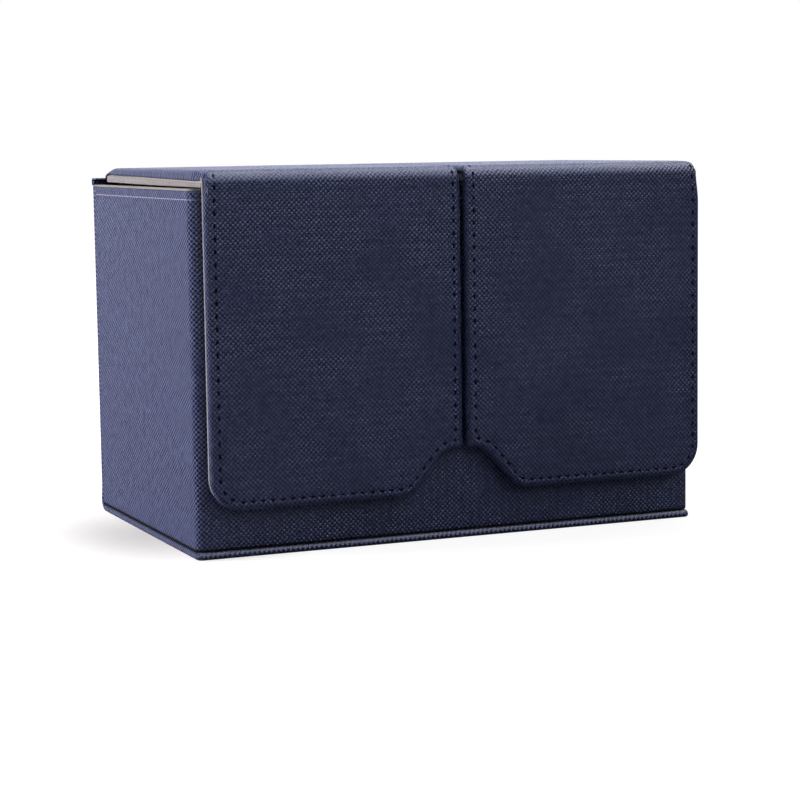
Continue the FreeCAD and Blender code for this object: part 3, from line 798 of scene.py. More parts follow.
class CARDBOX_OT_outer_wrap(bpy.types.Operator):
    """Make the padded base panel that turns up into the back panel"""
    bl_idname = "card_box.make_outer_wrap"
    bl_label = "Base and Back Panels"
    # The base's crease closes over this length of the back panel, in so many steps.
    CLOSING_LENGTH = 4 * MM
    CLOSING_STEPS = 4
    # Width of the flat ring inside the outer face's rim.
    OUTER_RING = 0.3 * MM

    def execute(self, context):
        shape = context.scene.card_box_shape
        path = FoldPath((WRAP_LOW.y, WRAP_LOW.z), 0)
        path.straight(WRAP_HIGH.y - WRAP_LOW.y - shape.panel_bend)
        path.bend(shape.panel_bend, 90)
        path.straight(WRAP_HIGH.z - WRAP_LOW.z - shape.panel_bend)
        corners = [
            (WRAP_LOW.x, 0, shape.panel_corner),
            (WRAP_HIGH.x, 0, shape.panel_corner),
            (WRAP_HIGH.x, path.length, 0),
            (WRAP_LOW.x, path.length, 0),
        ]
        bm = thicken(flat_face(corners), BACK_PANEL_THICKNESS, shape.panel_rim_round,
                     far_rim=shape.panel_crease)
        inset(bm, outer_face(bm), self.OUTER_RING)
        lay_sheet_map(bm)
        back_start = path.bends[0][1]
        closing = steps_over(self.CLOSING_LENGTH, self.CLOSING_STEPS)
        cut_across(bm, path.cuts() + [back_start + step for step in closing])
        self.close_back_crease(bm, back_start, shape.panel_crease)
        fold_over(bm, path, "X")
        piece = make_piece("outer_wrap_skin", bm, creased_skin_material())
        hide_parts("outer_wrap")
        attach(piece, "case")
        return {"FINISHED"}

    def close_back_crease(self, bm, back_start, crease):
        """Square the back panel's inner rim and set it flush with the walls, which it is glued to."""
        for vert in bm.verts:
            closed = min(max((vert.co.y - back_start) / self.CLOSING_LENGTH, 0), 1)
            side = math.copysign(1, vert.co.x)
            if abs(vert.co.x) > WRAP_HIGH.x - crease - SAME_PLACE and closed > 0:
                if vert.co.z > BACK_PANEL_THICKNESS / 2:
                    vert.co.x += (side * BODY_HIGH.x - vert.co.x) * closed
                else:
                    vert.co.x -= side * (WRAP_HIGH.x - BODY_HIGH.x) * closed


def body_path():
    """The way round the left, front and right walls, seen from above."""
    radius = bpy.context.scene.card_box_shape.wall_corner
    path = FoldPath((BODY_LOW.x, BODY_HIGH.y), -90)
    path.straight(BODY_HIGH.y - BODY_LOW.y - radius)
    path.bend(radius, 90)
    path.straight(BODY_HIGH.x - BODY_LOW.x - 2 * radius)
    path.bend(radius, 90)
    path.straight(BODY_HIGH.y - BODY_LOW.y - radius)
    return path


class CARDBOX_OT_body_cover(bpy.types.Operator):
    """Make the skin round the left, front and right walls, with the drawer's mouth in it"""
    bl_idname = "card_box.make_body_cover"
    bl_label = "Body Skin"
    RIM_ROUND = 0.45 * MM

    def execute(self, context):
        path = body_path()
        mouth_low = path.length - (BODY_HIGH.y - RAIL_FRONT_HIGH.y)
        mouth_high = path.length - (BODY_HIGH.y - RAIL_REAR_LOW.y)
        corners = [
            (BODY_LOW.z, 0, 0),
            (BODY_HIGH.z, 0, 0),
            (BODY_HIGH.z, path.length, 0),
            (BODY_LOW.z, path.length, 0),
        ]
        bm = flat_face(corners)
        cut_across(bm, (mouth_low, mouth_high))
        cut_across(bm, (RAIL_FRONT_LOW.z, RAIL_FRONT_HIGH.z), axis=0)
        middle = Vector(((RAIL_FRONT_LOW.z + RAIL_FRONT_HIGH.z) / 2, (mouth_low + mouth_high) / 2, 0))
        mouth = min(bm.faces, key=lambda face: (face.calc_center_median() - middle).length)
        bmesh.ops.delete(bm, geom=[mouth], context="FACES")
        thicken(bm, WALL_HIGH.x - BODY_LOW.x, 0)
        rim = [edge for edge in rim_edges(bm, 0) if not self.at_end(edge, path)]
        bevel_edges(bm, rim, self.RIM_ROUND, RIM_SEGMENTS)
        lay_sheet_map(bm)
        cut_across(bm, path.cuts())
        self.stretch_side_grain(bm, path)
        fold_over(bm, path, "Z")
        piece = make_piece("body_skin", bm, creased_skin_material())
        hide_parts("body_cover")
        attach(piece, "case")
        return {"FINISHED"}

    def at_end(self, edge, path):
        """Whether an edge lies along one of the skin's ends, which meet the back panel."""
        return any(all(abs(vert.co.y - end) < SAME_PLACE for vert in edge.verts)
                   for end in (0, path.length))

    def stretch_side_grain(self, bm, path):
        """Lay the grain on the side walls coarser along them."""
        layer = bm.loops.layers.uv[SHEET_MAP]
        stretch = bpy.context.scene.card_box_skin.side_stretch
        front_start, front_end = path.bends[0][0], path.bends[1][1]
        for face in bm.faces:
            for loop in face.loops:
                along = loop[layer].uv.y
                beyond = min(along - front_start, 0) + max(along - front_end, 0)
                loop[layer].uv.y = along - beyond + beyond / stretch


class CARDBOX_OT_wall_seam(bpy.types.Operator):
    """Sew the pale seam along the top of the walls"""
    bl_idname = "card_box.make_wall_seam"
    bl_label = "Wall Seam"
    END_GAP = 1.5 * MM

    def execute(self, context):
        thread = context.scene.card_box_stitching
        path = body_path()
        level = BODY_HIGH.z - thread.seam_drop
        ends = [Vector((level, self.END_GAP, 0)), Vector((level, path.length - self.END_GAP, 0))]
        bm = bmesh.new()
        for place, way in spaced_along(ends, thread.seam_pitch):
            add_stitch(bm, place, way, thread.seam_length, thread.seam_thickness, thread.seam_thickness)
        fold_over(bm, path, "Z")
        material = make_thread_material("pale_thread", thread.seam_colour)
        piece = make_piece("wall_seam", bm, material)
        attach(piece, "case")
        return {"FINISHED"}


# ---- Lids and flaps -------------------------------------------------------------------


# Share of the room beside the notch that its upper corner's rounding may take.
MOST_NOTCH_ROUND = 0.98
# Share of its thickness that a lid loses at its back edge.
LID_BACK_LOSS = 0.88
# How many times less the right lid sinks beside the slit than the left one.
RIGHT_FIRMNESS = 3
# Width of the strip beside a lid's outer edge that its skirt takes up.
SKIRT_WIDTH = 3 * MM


def lid_path():
    """The way from a lid's back edge over its top, round the fold and down the flap."""
    path = FoldPath((LID_HIGH.y, LID_HIGH.z), 180)
    path.straight(LID_HIGH.y - LID_LOW.y)
    path.bend(FOLD_RADIUS, 90)
    path.straight(FLAP_HIGH.z - FLAP_LOW.z)
    return path


def lid_edges(side):
    """Where one lid's outer edge and its edge by the slit are in X, and which way is inward."""
    low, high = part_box(side + "_lid_cover")
    return (low.x, high.x, 1) if side == "left" else (high.x, low.x, -1)


def lid_corners(side, shape, path, margin=0.0, sideways=0.0):
    """The flat outline of one lid and flap, moved in by a margin and to the right."""
    outer, slit, toward_slit = lid_edges(side)
    outer += toward_slit * margin
    slit -= toward_slit * margin
    bottom = path.length - margin
    notch = path.length - shape.notch_height - margin
    slope = math.tan(shape.notch_slope)
    shift = margin / math.sin(shape.notch_slope)
    foot = SLIT_CENTRE - toward_slit * (shape.notch_half_width + shift - margin / slope)
    head = foot + toward_slit * shape.notch_height / slope
    most_round = MOST_NOTCH_ROUND * abs(slit - head) / math.tan(shape.notch_slope / 2)
    corners = [
        (outer, 0, 0),
        (outer, bottom, shape.flap_corner - margin),
        (foot, bottom, shape.notch_foot_round - margin),
        (head, notch, min(shape.notch_top_round + margin, most_round)),
        (slit, notch, 0),
        (slit, 0, 0),
    ]
    return [(x + sideways, y, radius) for x, y, radius in corners]


def drop_lid_back(bm, round_length):
    """Let the back edge of a folded lid fall to the pad, steeper and steeper."""
    start = LID_HIGH.y - round_length
    for vert in bm.verts:
        if vert.co.y > start:
            part = (vert.co.y - start) / round_length
            vert.co.z = LID_LOW.z + (vert.co.z - LID_LOW.z) * (1 - LID_BACK_LOSS * part ** 2)


def soften_fold(bm, side, shape, path):
    """Let a flat lid's edges sink in and pull together where the fold will be, as unboarded skin does."""
    outer, slit, toward_slit = lid_edges(side)
    inner_softness = shape.fold_soft_inside / (1 if side == "left" else RIGHT_FIRMNESS)
    bend_start, bend_end = path.bends[0]
    middle = (bend_start + bend_end) / 2
    reach = (bend_end - bend_start) / 2 + shape.fold_soft_reach
    for vert in bm.verts:
        along = (vert.co.y - middle) / reach
        if abs(along) >= 1:
            continue
        bump = (1 - along ** 2) ** 2
        depth_left = 1 - vert.co.z / LID_THICKNESS
        for edge, inward, softness, pull in ((outer, toward_slit, 1.0, shape.fold_soft_pull),
                                             (slit, -toward_slit, inner_softness, 0)):
            near = 1 - abs(vert.co.x - edge) / shape.fold_soft_width
            if near > 0:
                sink = 1 - math.sqrt(1 - min(near, 1.0) ** 2)
                vert.co.z += shape.fold_soft_drop * softness * bump * sink * depth_left
                vert.co.x += inward * pull * bump * near


def lower_skirt(bm, side, shape, path):
    """Let a flat lid's outer side reach deeper over the pad, more and more towards the fold."""
    outer = lid_edges(side)[0]
    bend_start, bend_end = path.bends[0]
    for vert in bm.verts:
        if vert.co.z > LID_THICKNESS / 2 and abs(vert.co.x - outer) < SKIRT_WIDTH:
            grown = min(vert.co.y / bend_start, 1.0)
            faded = min(max((vert.co.y - bend_start) / (bend_end - bend_start), 0.0), 1.0)
            vert.co.z += shape.lid_skirt * grown * (1 - faded ** 2 * (3 - 2 * faded))


class CARDBOX_OT_lid_covers(bpy.types.Operator):
    """Make the skins of the two lids, each in one sheet with its flap"""
    bl_idname = "card_box.make_lid_covers"
    bl_label = "Lid and Flap Skins"
    UNDER_ROUND = 0.5 * MM
    BACK_CUTS = 9
    SOFT_CUTS = 6
    # The furrow stays this far from the ring's back end.
    FURROW_START = 1 * MM

    def execute(self, context):
        shape = context.scene.card_box_shape
        thread = context.scene.card_box_stitching
        path = lid_path()
        back_cuts = steps_over(shape.lid_back_round, self.BACK_CUTS)
        for side in SIDES:
            bm = flat_face(self.ring_corners(side, shape, path))
            self.press_groove(bm, side, shape, thread, path)
            thicken(bm, LID_THICKNESS, shape.rim_round, far_rim=self.UNDER_ROUND)
            lay_sheet_map(bm)
            cut_across(bm, back_cuts + self.fold_cuts(shape, path))
            soften_fold(bm, side, shape, path)
            lower_skirt(bm, side, shape, path)
            fold_over(bm, path, "X")
            drop_lid_back(bm, shape.lid_back_round)
            piece = make_piece(side + "_lid_skin", bm, skin_material())
            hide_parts(side + "_lid_cover", side + "_fold_strip", side + "_flap_cover")
            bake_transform(piece)
        return {"FINISHED"}

    def ring_corners(self, side, shape, path, margin=0.0, sideways=0.0):
        """A lid's outline, clear of the back edge too, with one more corner on each side of it."""
        corners = lid_corners(side, shape, path, margin, sideways)
        outer, slit = corners[0][0], corners[-1][0]
        return ([(outer, margin, 0), (outer, shape.lid_back_round, 0)] + corners[1:-1]
                + [(slit, shape.lid_back_round, 0), (slit, margin, 0)])

    def press_groove(self, bm, side, shape, thread, path):
        """Press the furrow of the stitching into a flat face, with a flat ring on each side of it."""
        face = bm.faces[:][0]
        add_ring(bm, face, self.ring_corners(side, shape, path, shape.rim_round + SUPPORT_RING))
        half = thread.groove_width / 2
        for aside, depth in ((-half, 0), (0, thread.groove_depth), (half, 0), (half + SUPPORT_RING, 0)):
            margin = thread.margin + aside
            add_ring(bm, face, self.ring_corners(side, shape, path, margin, thread.sideways))
            for vert in face.verts:
                vert.co.z = depth if vert.co.y > margin + self.FURROW_START else 0

    def fold_cuts(self, shape, path):
        """The cuts for the bend and for the soft skin on each side of it."""
        start, end = path.bends[0]
        steps = steps_over(shape.fold_soft_reach, self.SOFT_CUTS)
        return path.cuts() + [start - step for step in steps] + [end + step for step in steps]


class CARDBOX_OT_stitches(bpy.types.Operator):
    """Sew the dark stitching round the two lids and flaps"""
    bl_idname = "card_box.make_stitches"
    bl_label = "Lid and Flap Stitching"

    def execute(self, context):
        shape = context.scene.card_box_shape
        thread = context.scene.card_box_stitching
        path = lid_path()
        material = make_thread_material("dark_thread", thread.colour)
        for side in SIDES:
            guide = flat_face(lid_corners(side, shape, path, thread.margin, thread.sideways))
            points = [vert.co.copy() for vert in guide.faces[:][0].verts]
            guide.free()
            first = min(range(len(points)), key=lambda index: points[index].y)
            points = points[first:] + points[:first + 1]
            bm = bmesh.new()
            for place, way in spaced_along(points, thread.pitch, thread.pitch_across):
                if place.y > shape.lid_back_round:
                    sunk = place + Vector((0, 0, thread.groove_depth))
                    add_stitch(bm, sunk, way, thread.length, thread.thickness, thread.height)
            soften_fold(bm, side, shape, path)
            fold_over(bm, path, "X")
            piece = make_piece(side + "_lid_stitching", bm, material)
            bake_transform(piece)
        return {"FINISHED"}


class CARDBOX_OT_lid_pads(bpy.types.Operator):
    """Make the fleece pads under the lids and inside the flaps"""
    bl_idname = "card_box.make_lid_pads"
    bl_label = "Lid and Flap Pads"
    LID_PAD_CORNER = 0.8 * MM
    LID_PAD_UPPER_ROUND = 0.12 * MM
    LID_PAD_LOWER_ROUND = 0.9 * MM
    LID_PAD_CUTS = 8
    # The round back end is cut at each of these turns, and keeps a share of its thickness.
    END_TURNS = range(0, 90, 10)
    END_THINNEST = 0.1
    FLAP_PAD_UPPER_ROUND = 0.1 * MM
    FLAP_PAD_LOWER_ROUND = 0.55 * MM
    FLAP_PAD_EXTRA_MARGIN = 0.05 * MM

    def execute(self, context):
        shape = context.scene.card_box_shape
        path = lid_path()
        for side in SIDES:
            self.make_lid_pad(side, shape)
            self.make_flap_pad(side, shape, path)
        return {"FINISHED"}

    def make_lid_pad(self, side, shape):
        """The flat pad under one lid, with a round back end that lifts off the walls a little."""
        low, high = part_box(side + "_lid_lining")
        outer = low.x if side == "left" else high.x
        if side == "left":
            high.x -= shape.slit_setback
        else:
            low.x += shape.slit_setback
        corners = [(x, y, self.LID_PAD_CORNER) for x, y in
                   ((low.x, low.y), (high.x, low.y), (high.x, high.y), (low.x, high.y))]
        thickness = high.z - low.z
        bm = thicken(flat_face(corners, 4), thickness, self.LID_PAD_UPPER_ROUND,
                     far_rim=self.LID_PAD_LOWER_ROUND)
        end = thickness / 2
        end_cuts = [high.y - end * (1 - math.sin(math.radians(turn))) for turn in self.END_TURNS]
        cut_across(bm, end_cuts + [high.y * index / self.LID_PAD_CUTS for index in range(self.LID_PAD_CUTS)])
        for vert in bm.verts:
            if vert.co.z > thickness / 2 and abs(vert.co.x - outer) < SKIRT_WIDTH:
                vert.co.z -= shape.lid_skirt * (LID_HIGH.y - vert.co.y) / (LID_HIGH.y - LID_LOW.y)
            lift = shape.pad_gap * (vert.co.y / high.y + 1) ** 2 / 4 - self.LID_PAD_UPPER_ROUND
            vert.co.z = thickness - (thickness - vert.co.z) * (1 - lift / thickness)
            beyond = min(max((vert.co.y - (high.y - end)) / end, 0.0), 1.0)
            middle = (thickness + lift) / 2
            vert.co.z = middle + (vert.co.z - middle) * max(math.sqrt(1 - beyond ** 2), self.END_THINNEST)
        bmesh.ops.translate(bm, vec=(0, 0, low.z), verts=bm.verts)
        piece = make_piece(side + "_lid_pad", bm, fleece_material())
        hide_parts(side + "_lid_lining")
        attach(piece, side + "_lid")

    def make_flap_pad(self, side, shape, path):
        """The pad inside one flap, which goes round the fold to the lid's pad."""
        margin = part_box(side + "_flap_lining")[0].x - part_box(side + "_flap_cover")[0].x
        half = shape.slit_setback / 2
        outline = lid_corners(side, shape, path, margin + self.FLAP_PAD_EXTRA_MARGIN + half,
                              -half if side == "left" else half)
        start = LID_HIGH.y - LID_LOW.y
        corners = [(x, max(y, start), radius) for x, y, radius in outline]
        bm = thicken(flat_face(corners), FLAP_LINING_HIGH.y - FLAP_LINING_LOW.y,
                     self.FLAP_PAD_UPPER_ROUND, far_rim=self.FLAP_PAD_LOWER_ROUND)
        cut_across(bm, path.cuts())
        bmesh.ops.translate(bm, vec=(0, 0, LID_THICKNESS), verts=bm.verts)
        fold_over(bm, path, "X")
        piece = make_piece(side + "_flap_pad", bm, fleece_material())
        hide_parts(side + "_flap_lining")
        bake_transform(piece)


class CARDBOX_OT_hinge_strips(bpy.types.Operator):
    """Make the soft strips that join the back panel to the lids"""
    bl_idname = "card_box.make_hinge_strips"
    bl_label = "Hinge Strips"
    EDGE_ROUND = 0.2 * MM

    def execute(self, context):
        shape = context.scene.card_box_shape
        path, ledge = self.hinge_path(shape)
        for side in SIDES:
            low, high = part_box(side + "_hinge_strip")
            lid_low, lid_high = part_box(side + "_lid_cover")
            if side == "left":
                corners = [(low.x, 0, 0), (high.x, 0, 0), (high.x, path.length, 0),
                           (lid_low.x, path.length, 0), (lid_low.x, ledge, 0), (low.x, ledge, 0)]
            else:
                corners = [(low.x, 0, 0), (high.x, 0, 0), (high.x, ledge, 0), (lid_high.x, ledge, 0),
                           (lid_high.x, path.length, 0), (low.x, path.length, 0)]
            bm = thicken(flat_face(corners), shape.hinge_thickness, self.EDGE_ROUND)
            inset(bm, outer_face(bm), SUPPORT_RING)
            lay_sheet_map(bm)
            cut_across(bm, path.cuts())
            fold_over(bm, path, "X")
            piece = make_piece(side + "_hinge_skin", bm, skin_material())
            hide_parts(side + "_hinge_strip")
            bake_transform(piece)
        return {"FINISHED"}

    def hinge_path(self, shape):
        """The way up the back panel, over the ledge behind the lids and up under a lid.

        The distance at which the ledge ends comes with it."""
        radius = shape.hinge_round
        turn = math.degrees(shape.hinge_rise)
        climb = LID_LOW.z - STRIP_HIGH.z - 2 * radius * (1 - math.cos(shape.hinge_rise))
        slant = climb / math.sin(shape.hinge_rise)
        foot = PAD_HIGH.y + slant * math.cos(shape.hinge_rise) + 2 * radius * math.sin(shape.hinge_rise)
        path = FoldPath((WRAP_HIGH.y, STRIP_HIGH.z - radius - shape.hinge_tuck), 90)
        path.straight(shape.hinge_tuck)
        path.bend(radius, 90)
        path.straight(WRAP_HIGH.y - radius - foot)
        ledge = path.length
        path.bend(radius, -turn)
        path.straight(slant)
        path.bend(radius, turn)
        path.straight(shape.hinge_tuck)
        return path, ledge


# ---- Drawer and inside ----------------------------------------------------------------


class CARDBOX_OT_drawer(bpy.types.Operator):
    """Make the drawer's skin, with the finger notch in its face"""
    bl_idname = "card_box.make_drawer"
    bl_label = "Drawer Skin"
    EDGE_ROUND = 0.35 * MM
    NOTCH_STEPS = 20
    # How far a square gap reaches under the notch's arc, before it is filled up to the arc.
    NOTCH_FOOT = 1 * MM
    # Where the drawer's face has its inner side, and the same with a little room to find it by.
    FACE_INSIDE = DRAWER_HIGH.x - DRAWER_WALL
    FACE_START = FACE_INSIDE - 0.1 * MM

    def execute(self, context):
        size = DRAWER_HIGH - DRAWER_LOW
        centre = (DRAWER_LOW + DRAWER_HIGH) / 2
        bm = bmesh.new()
        matrix = Matrix.Translation(centre) @ Matrix.Diagonal((size.x, size.y, size.z, 1))
        bmesh.ops.create_cube(bm, size=1, matrix=matrix)
        bm.normal_update()
        top = max(bm.faces, key=lambda face: face.calc_center_median().z)
        inset(bm, top, DRAWER_WALL)
        made = bmesh.ops.extrude_face_region(bm, geom=[top])
        floor = [item for item in made["geom"] if isinstance(item, bmesh.types.BMVert)]
        bmesh.ops.delete(bm, geom=[top], context="FACES_ONLY")
        bmesh.ops.translate(bm, vec=(0, 0, DRAWER_WALL - size.z), verts=floor)
        self.cut_notch(bm, centre.y, context.scene.card_box_shape.drawer_notch_radius)
        bmesh.ops.recalc_face_normals(bm, faces=bm.faces)
        bevel_edges(bm, hard_edges(bm), self.EDGE_ROUND, 3)
        self.lay_box_map(bm)
        piece = make_piece("drawer_skin", bm, skin_material())
        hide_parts("drawer_cover")
        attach(piece, "drawer")
        return {"FINISHED"}

    def cut_notch(self, bm, middle, radius):
        """Cut a half-round notch in the top of the drawer's face."""
        foot = DRAWER_HIGH.z - radius - self.NOTCH_FOOT
        for place, normal in (((0, middle - radius, 0), (0, 1, 0)), ((0, middle + radius, 0), (0, 1, 0)),
                              ((0, 0, foot), (0, 0, 1))):
            front = self.front_faces(bm)
            edges = dict.fromkeys(edge for face in front for edge in face.edges)
            verts = dict.fromkeys(vert for face in front for vert in face.verts)
            bmesh.ops.bisect_plane(bm, geom=[*verts, *edges, *front], dist=MERGE_DISTANCE,
                                   plane_co=place, plane_no=normal)
        notch = []
        for face in self.front_faces(bm):
            spot = face.calc_center_median()
            if abs(spot.y - middle) < radius and spot.z > foot:
                notch.append(face)
        bmesh.ops.delete(bm, geom=notch, context="FACES")
        outer_arc, inner_arc = [self.fill_to_arc(bm, x, middle, radius, foot)
                                for x in (DRAWER_HIGH.x, self.FACE_INSIDE)]
        for index in range(self.NOTCH_STEPS):
            bm.faces.new(outer_arc[index:index + 2] + inner_arc[index:index + 2][::-1])
        bmesh.ops.recalc_face_normals(bm, faces=bm.faces)
        bmesh.ops.dissolve_limit(bm, angle_limit=0.001, verts=bm.verts, edges=bm.edges)

    def front_faces(self, bm):
        """The mesh's faces on the drawer's face, which is the side that is seen when it is shut."""
        return [face for face in bm.faces if face.calc_center_median().x > self.FACE_START]

    def fill_to_arc(self, bm, x, middle, radius, foot):
        """Fill a square gap up to a half-round arc, and give the arc's vertices."""
        corners = []
        for side, z in ((-1, DRAWER_HIGH.z), (-1, foot), (1, foot), (1, DRAWER_HIGH.z)):
            corner = Vector((x, middle + side * radius, z))
            corners.append(min(bm.verts, key=lambda vert: (vert.co - corner).length))
        arc = [corners[3]]
        for turn in steps_over(math.pi, self.NOTCH_STEPS)[:-1]:
            arc.append(bm.verts.new((x, middle + radius * math.cos(turn),
                                     DRAWER_HIGH.z - radius * math.sin(turn))))
        bm.faces.new(corners[:3] + arc)
        return arc + corners[:1]

    def lay_box_map(self, bm):
        """Lay a UV map in metres on each face, seen along the axis that it faces most."""
        layer = bm.loops.layers.uv.new(SHEET_MAP)
        bm.normal_update()
        for face in bm.faces:
            facing = max(range(3), key=lambda axis: abs(face.normal[axis]))
            across, along = [axis for axis in range(3) if axis != facing]
            for loop in face.loops:
                loop[layer].uv = (loop.vert.co[across], loop.vert.co[along])


class CARDBOX_OT_linings(bpy.types.Operator):
    """Give the bays, the drawer bay and the drawer their fleece"""
    bl_idname = "card_box.dress_linings"
    bl_label = "Bay and Drawer Fleece"

    def execute(self, context):
        for node in ("left_bay_lining", "right_bay_lining", "drawer_bay_lining", "drawer_lining"):
            dress(node, fleece_material())
        return {"FINISHED"}


class CARDBOX_OT_boards(bpy.types.Operator):
    """Give the boards and the magnets inside the skins their materials"""
    bl_idname = "card_box.dress_boards"
    bl_label = "Boards and Magnets"

    def execute(self, context):
        board = make_board_material()
        magnet = make_magnet_material()
        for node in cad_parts:
            if node.endswith(("_board", "_rail")):
                dress(node, board)
            if node.endswith("_magnets"):
                dress(node, magnet)
        return {"FINISHED"}


# ---- Stage ----------------------------------------------------------------------------


class CARDBOX_OT_stage(bpy.types.Operator):
    """Set up the floor, the sky, the lamps and the camera"""
    bl_idname = "card_box.make_stage"
    bl_label = "Floor, Lamps and Camera"
    FLOOR_RADIUS = 6
    FLOOR_GAP = 0.02 * MM
    FLOOR_COLOUR = (0.53, 0.54, 0.57, 1)
    # How dark the floor is where the skin mirrors it, and what is left of its glow there.
    FLOOR_MIRRORED_COLOUR = (0.2, 0.2, 0.2, 1)
    FLOOR_MIRRORED_GLOW = 0.1
    # How far the painted soft shadow beside the left wall reaches in X and in Y.
    PAINTED_SHADOW_REACH = (0.045, 0.075)
    LAMP_AIM = Vector((0, 0, 50 * MM))

    def execute(self, context):
        settings = context.scene.card_box_stage
        context.scene.view_settings.view_transform = "Standard"
        self.make_floor()
        self.make_sky(settings)
        left_lamp = self.make_lamp("left_lamp", place=(-1.1, 0.45, 0.25), size=0.8,
                                   power=settings.left_power)
        left_lamp.data.color = settings.left_colour
        left_lamp.visible_glossy = False
        self.make_lamp("front_lamp", place=(0.1, -1.15, 1.0), size=1.0, power=settings.front_power)
        self.make_lamp("top_lamp", place=(0.5, 0.4, 1.15), size=0.8, power=settings.top_power)
        self.make_camera(settings)
        return {"FINISHED"}

    def make_floor(self):
        """A pale floor that is plain white away from the object."""
        bm = bmesh.new()
        bmesh.ops.create_circle(bm, cap_ends=True, segments=64, radius=self.FLOOR_RADIUS)
        bmesh.ops.translate(bm, vec=(0, 0, -self.FLOOR_GAP), verts=bm.verts)
        material, tree, shader = new_material("pale_floor")
        rays = add_node(tree, "LightPath").outputs
        mirrored = rays["Is Glossy Ray"]
        seen = math_node(tree, "MULTIPLY", mirrored, self.FLOOR_MIRRORED_GLOW)
        seen = math_node(tree, "MAXIMUM", rays["Is Camera Ray"], seen)
        seen = math_node(tree, "MAXIMUM", seen, rays["Is Transmission Ray"])
        fill_inputs(tree, shader, {
            "Base Color": mix_colour_node(tree, mirrored, self.FLOOR_COLOUR, self.FLOOR_MIRRORED_COLOUR),
            "Roughness": 0.8,
            "Specular IOR Level": 0.0,
            "Emission Color": (1, 1, 1, 1),
            "Emission Strength": math_node(tree, "MULTIPLY", self.floor_glow_with_painted_shadow(tree), seen),
        })
        floor = make_piece("floor", bm, material)

    def floor_glow_with_painted_shadow(self, tree):
        """How white the floor is: less so near the object, and least beside its left wall, where a soft
        shadow is painted into its glow.
        """
        place = object_place(tree)
        away = measure_node(tree, "LENGTH", place)
        glow = spread_node(tree, away, 0.9, 1.0, start=0.08, end=0.4, curve="SMOOTHSTEP")
        # Painted shadow: the glow is lowered in an ellipse beside the left wall.
        beside = vector_node(tree, "ADD", place, (-WRAP_LOW.x, 0, 0))
        reach_x, reach_y = self.PAINTED_SHADOW_REACH
        beside = vector_node(tree, "MULTIPLY", beside, (1 / reach_x, 1 / reach_y, 0))
        painted_shadow = spread_node(tree, measure_node(tree, "LENGTH", beside), 0.36, 1.0, curve="SMOOTHSTEP")
        return math_node(tree, "MULTIPLY", glow, painted_shadow)

    def make_sky(self, settings):
        """A white background, which glossy surfaces see as a dark room with a screen and a bright ceiling."""
        world = bpy.data.worlds.new("studio")
        bpy.context.scene.world = world
        world.use_nodes = True
        tree = world.node_tree
        tree.nodes.clear()
        way = add_node(tree, "TexCoord").outputs["Generated"]
        parts = []
        for aim, start, end, strength in (((0.39, 0.92, 0), 0.5, 1.0, settings.screen_strength),
                                          ((0.12, -0.33, 0.93), 0.45, 0.97, settings.ceiling_strength)):
            toward = measure_node(tree, "DOT_PRODUCT", way, aim)
            parts.append(spread_node(tree, toward, 0.03, strength, start, end, curve="SMOOTHSTEP"))
        room = math_node(tree, "ADD", *parts)
        rays = add_node(tree, "LightPath").outputs
        mirrored = math_node(tree, "LESS_THAN", rays["Diffuse Depth"], 0.5)
        mirrored = math_node(tree, "MULTIPLY", rays["Is Glossy Ray"], mirrored)
        strength = mix_node(tree, mirrored, settings.sky_strength, room)
        strength = mix_node(tree, rays["Is Camera Ray"], strength, 1.0)
        strength = mix_node(tree, rays["Is Transmission Ray"], strength, 1.0)
        background = add_node(tree, "Background", {"Color": (1, 1, 1, 1), "Strength": strength})
        output = tree.nodes.new("ShaderNodeOutputWorld")
        tree.links.new(background.outputs["Background"], output.inputs["Surface"])

    def make_lamp(self, name, place, size, power):
        """A square soft lamp that points at the object."""
        lamp = bpy.data.lights.new(name, "AREA")
        lamp.shape = "SQUARE"
        lamp.size = size
        lamp.energy = power
        holder = bpy.data.objects.new(name, lamp)
        holder.location = place
        aim = self.LAMP_AIM - Vector(place)
        holder.rotation_euler = aim.to_track_quat("-Z", "Y").to_euler()
        bpy.context.scene.collection.objects.link(holder)
        return holder

    def make_camera(self, settings):
        """The camera, a long lens a little above the box and to its left."""
        camera = bpy.data.cameras.new("camera")
        camera.lens = settings.lens
        camera.sensor_width = 36
        camera.clip_start = 0.02
        camera.clip_end = 50
        holder = bpy.data.objects.new("camera", camera)
        turned = (Matrix.Rotation(-settings.camera_yaw, 4, "Z")
                  @ Matrix.Rotation(math.radians(90) - settings.camera_pitch, 4, "X")
                  @ Matrix.Rotation(settings.camera_roll, 4, "Z"))
        holder.matrix_world = Matrix.Translation(settings.camera_place) @ turned
        bpy.context.scene.collection.objects.link(holder)
        bpy.context.scene.camera = holder


# ---- Panel and registration -----------------------------------------------------------


OPERATORS = (
    CARDBOX_OT_stage,
    CARDBOX_OT_outer_wrap,
    CARDBOX_OT_body_cover,
    CARDBOX_OT_wall_seam,
    CARDBOX_OT_lid_covers,
    CARDBOX_OT_stitches,
    CARDBOX_OT_lid_pads,
    CARDBOX_OT_hinge_strips,
    CARDBOX_OT_drawer,
    CARDBOX_OT_linings,
    CARDBOX_OT_boards,
)


class CARDBOX_PT_panel(bpy.types.Panel):
    """The card box's pieces and their settings"""
    bl_idname = "CARDBOX_PT_panel"
    bl_label = "Card Box"
    bl_space_type = "VIEW_3D"
    bl_region_type = "UI"
    bl_category = "Card Box"

    def draw(self, context):
        for operator in OPERATORS:
            self.layout.operator(operator.bl_idname)
        for name, group in SETTINGS.items():
            box = self.layout.box()
            for setting in group.__annotations__:
                box.prop(getattr(context.scene, name), setting)


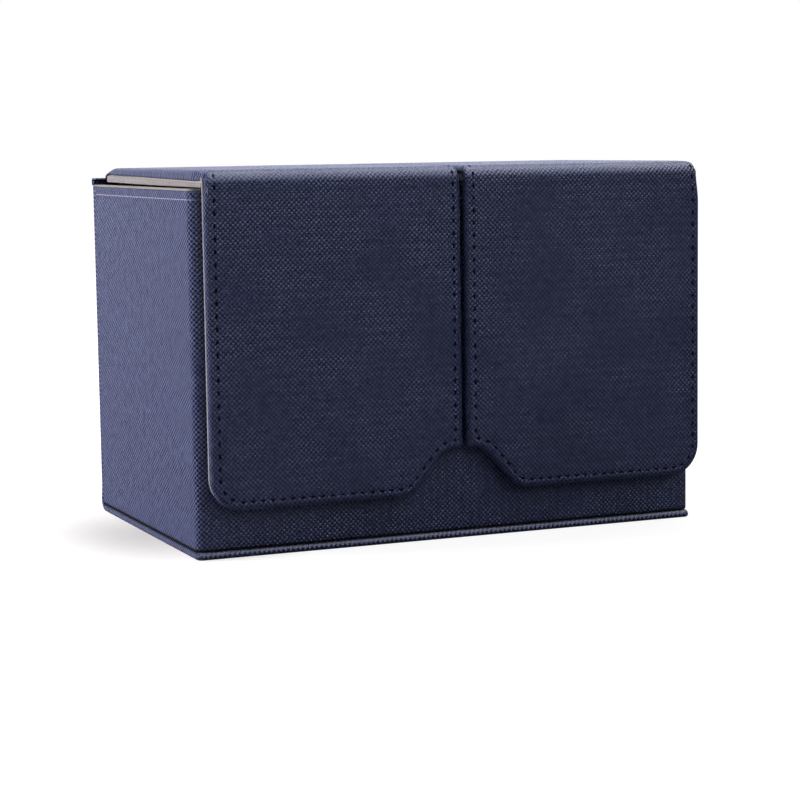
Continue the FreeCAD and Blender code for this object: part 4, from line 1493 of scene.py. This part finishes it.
def register():
    """Register the settings, the operators and the panel."""
    for name, group in SETTINGS.items():
        bpy.utils.register_class(group)
        setattr(bpy.types.Scene, name, bpy.props.PointerProperty(type=group))
    for operator in OPERATORS:
        bpy.utils.register_class(operator)
    bpy.utils.register_class(CARDBOX_PT_panel)


def unregister():
    """Take back all that register adds."""
    bpy.utils.unregister_class(CARDBOX_PT_panel)
    for operator in reversed(OPERATORS):
        bpy.utils.unregister_class(operator)
    for name, group in SETTINGS.items():
        delattr(bpy.types.Scene, name)
        bpy.utils.unregister_class(group)


def main():
    """Make every piece."""
    register()
    for operator in OPERATORS:
        group, name = operator.bl_idname.split(".")
        getattr(getattr(bpy.ops, group), name)()


if __name__ == "__main__":
    main()
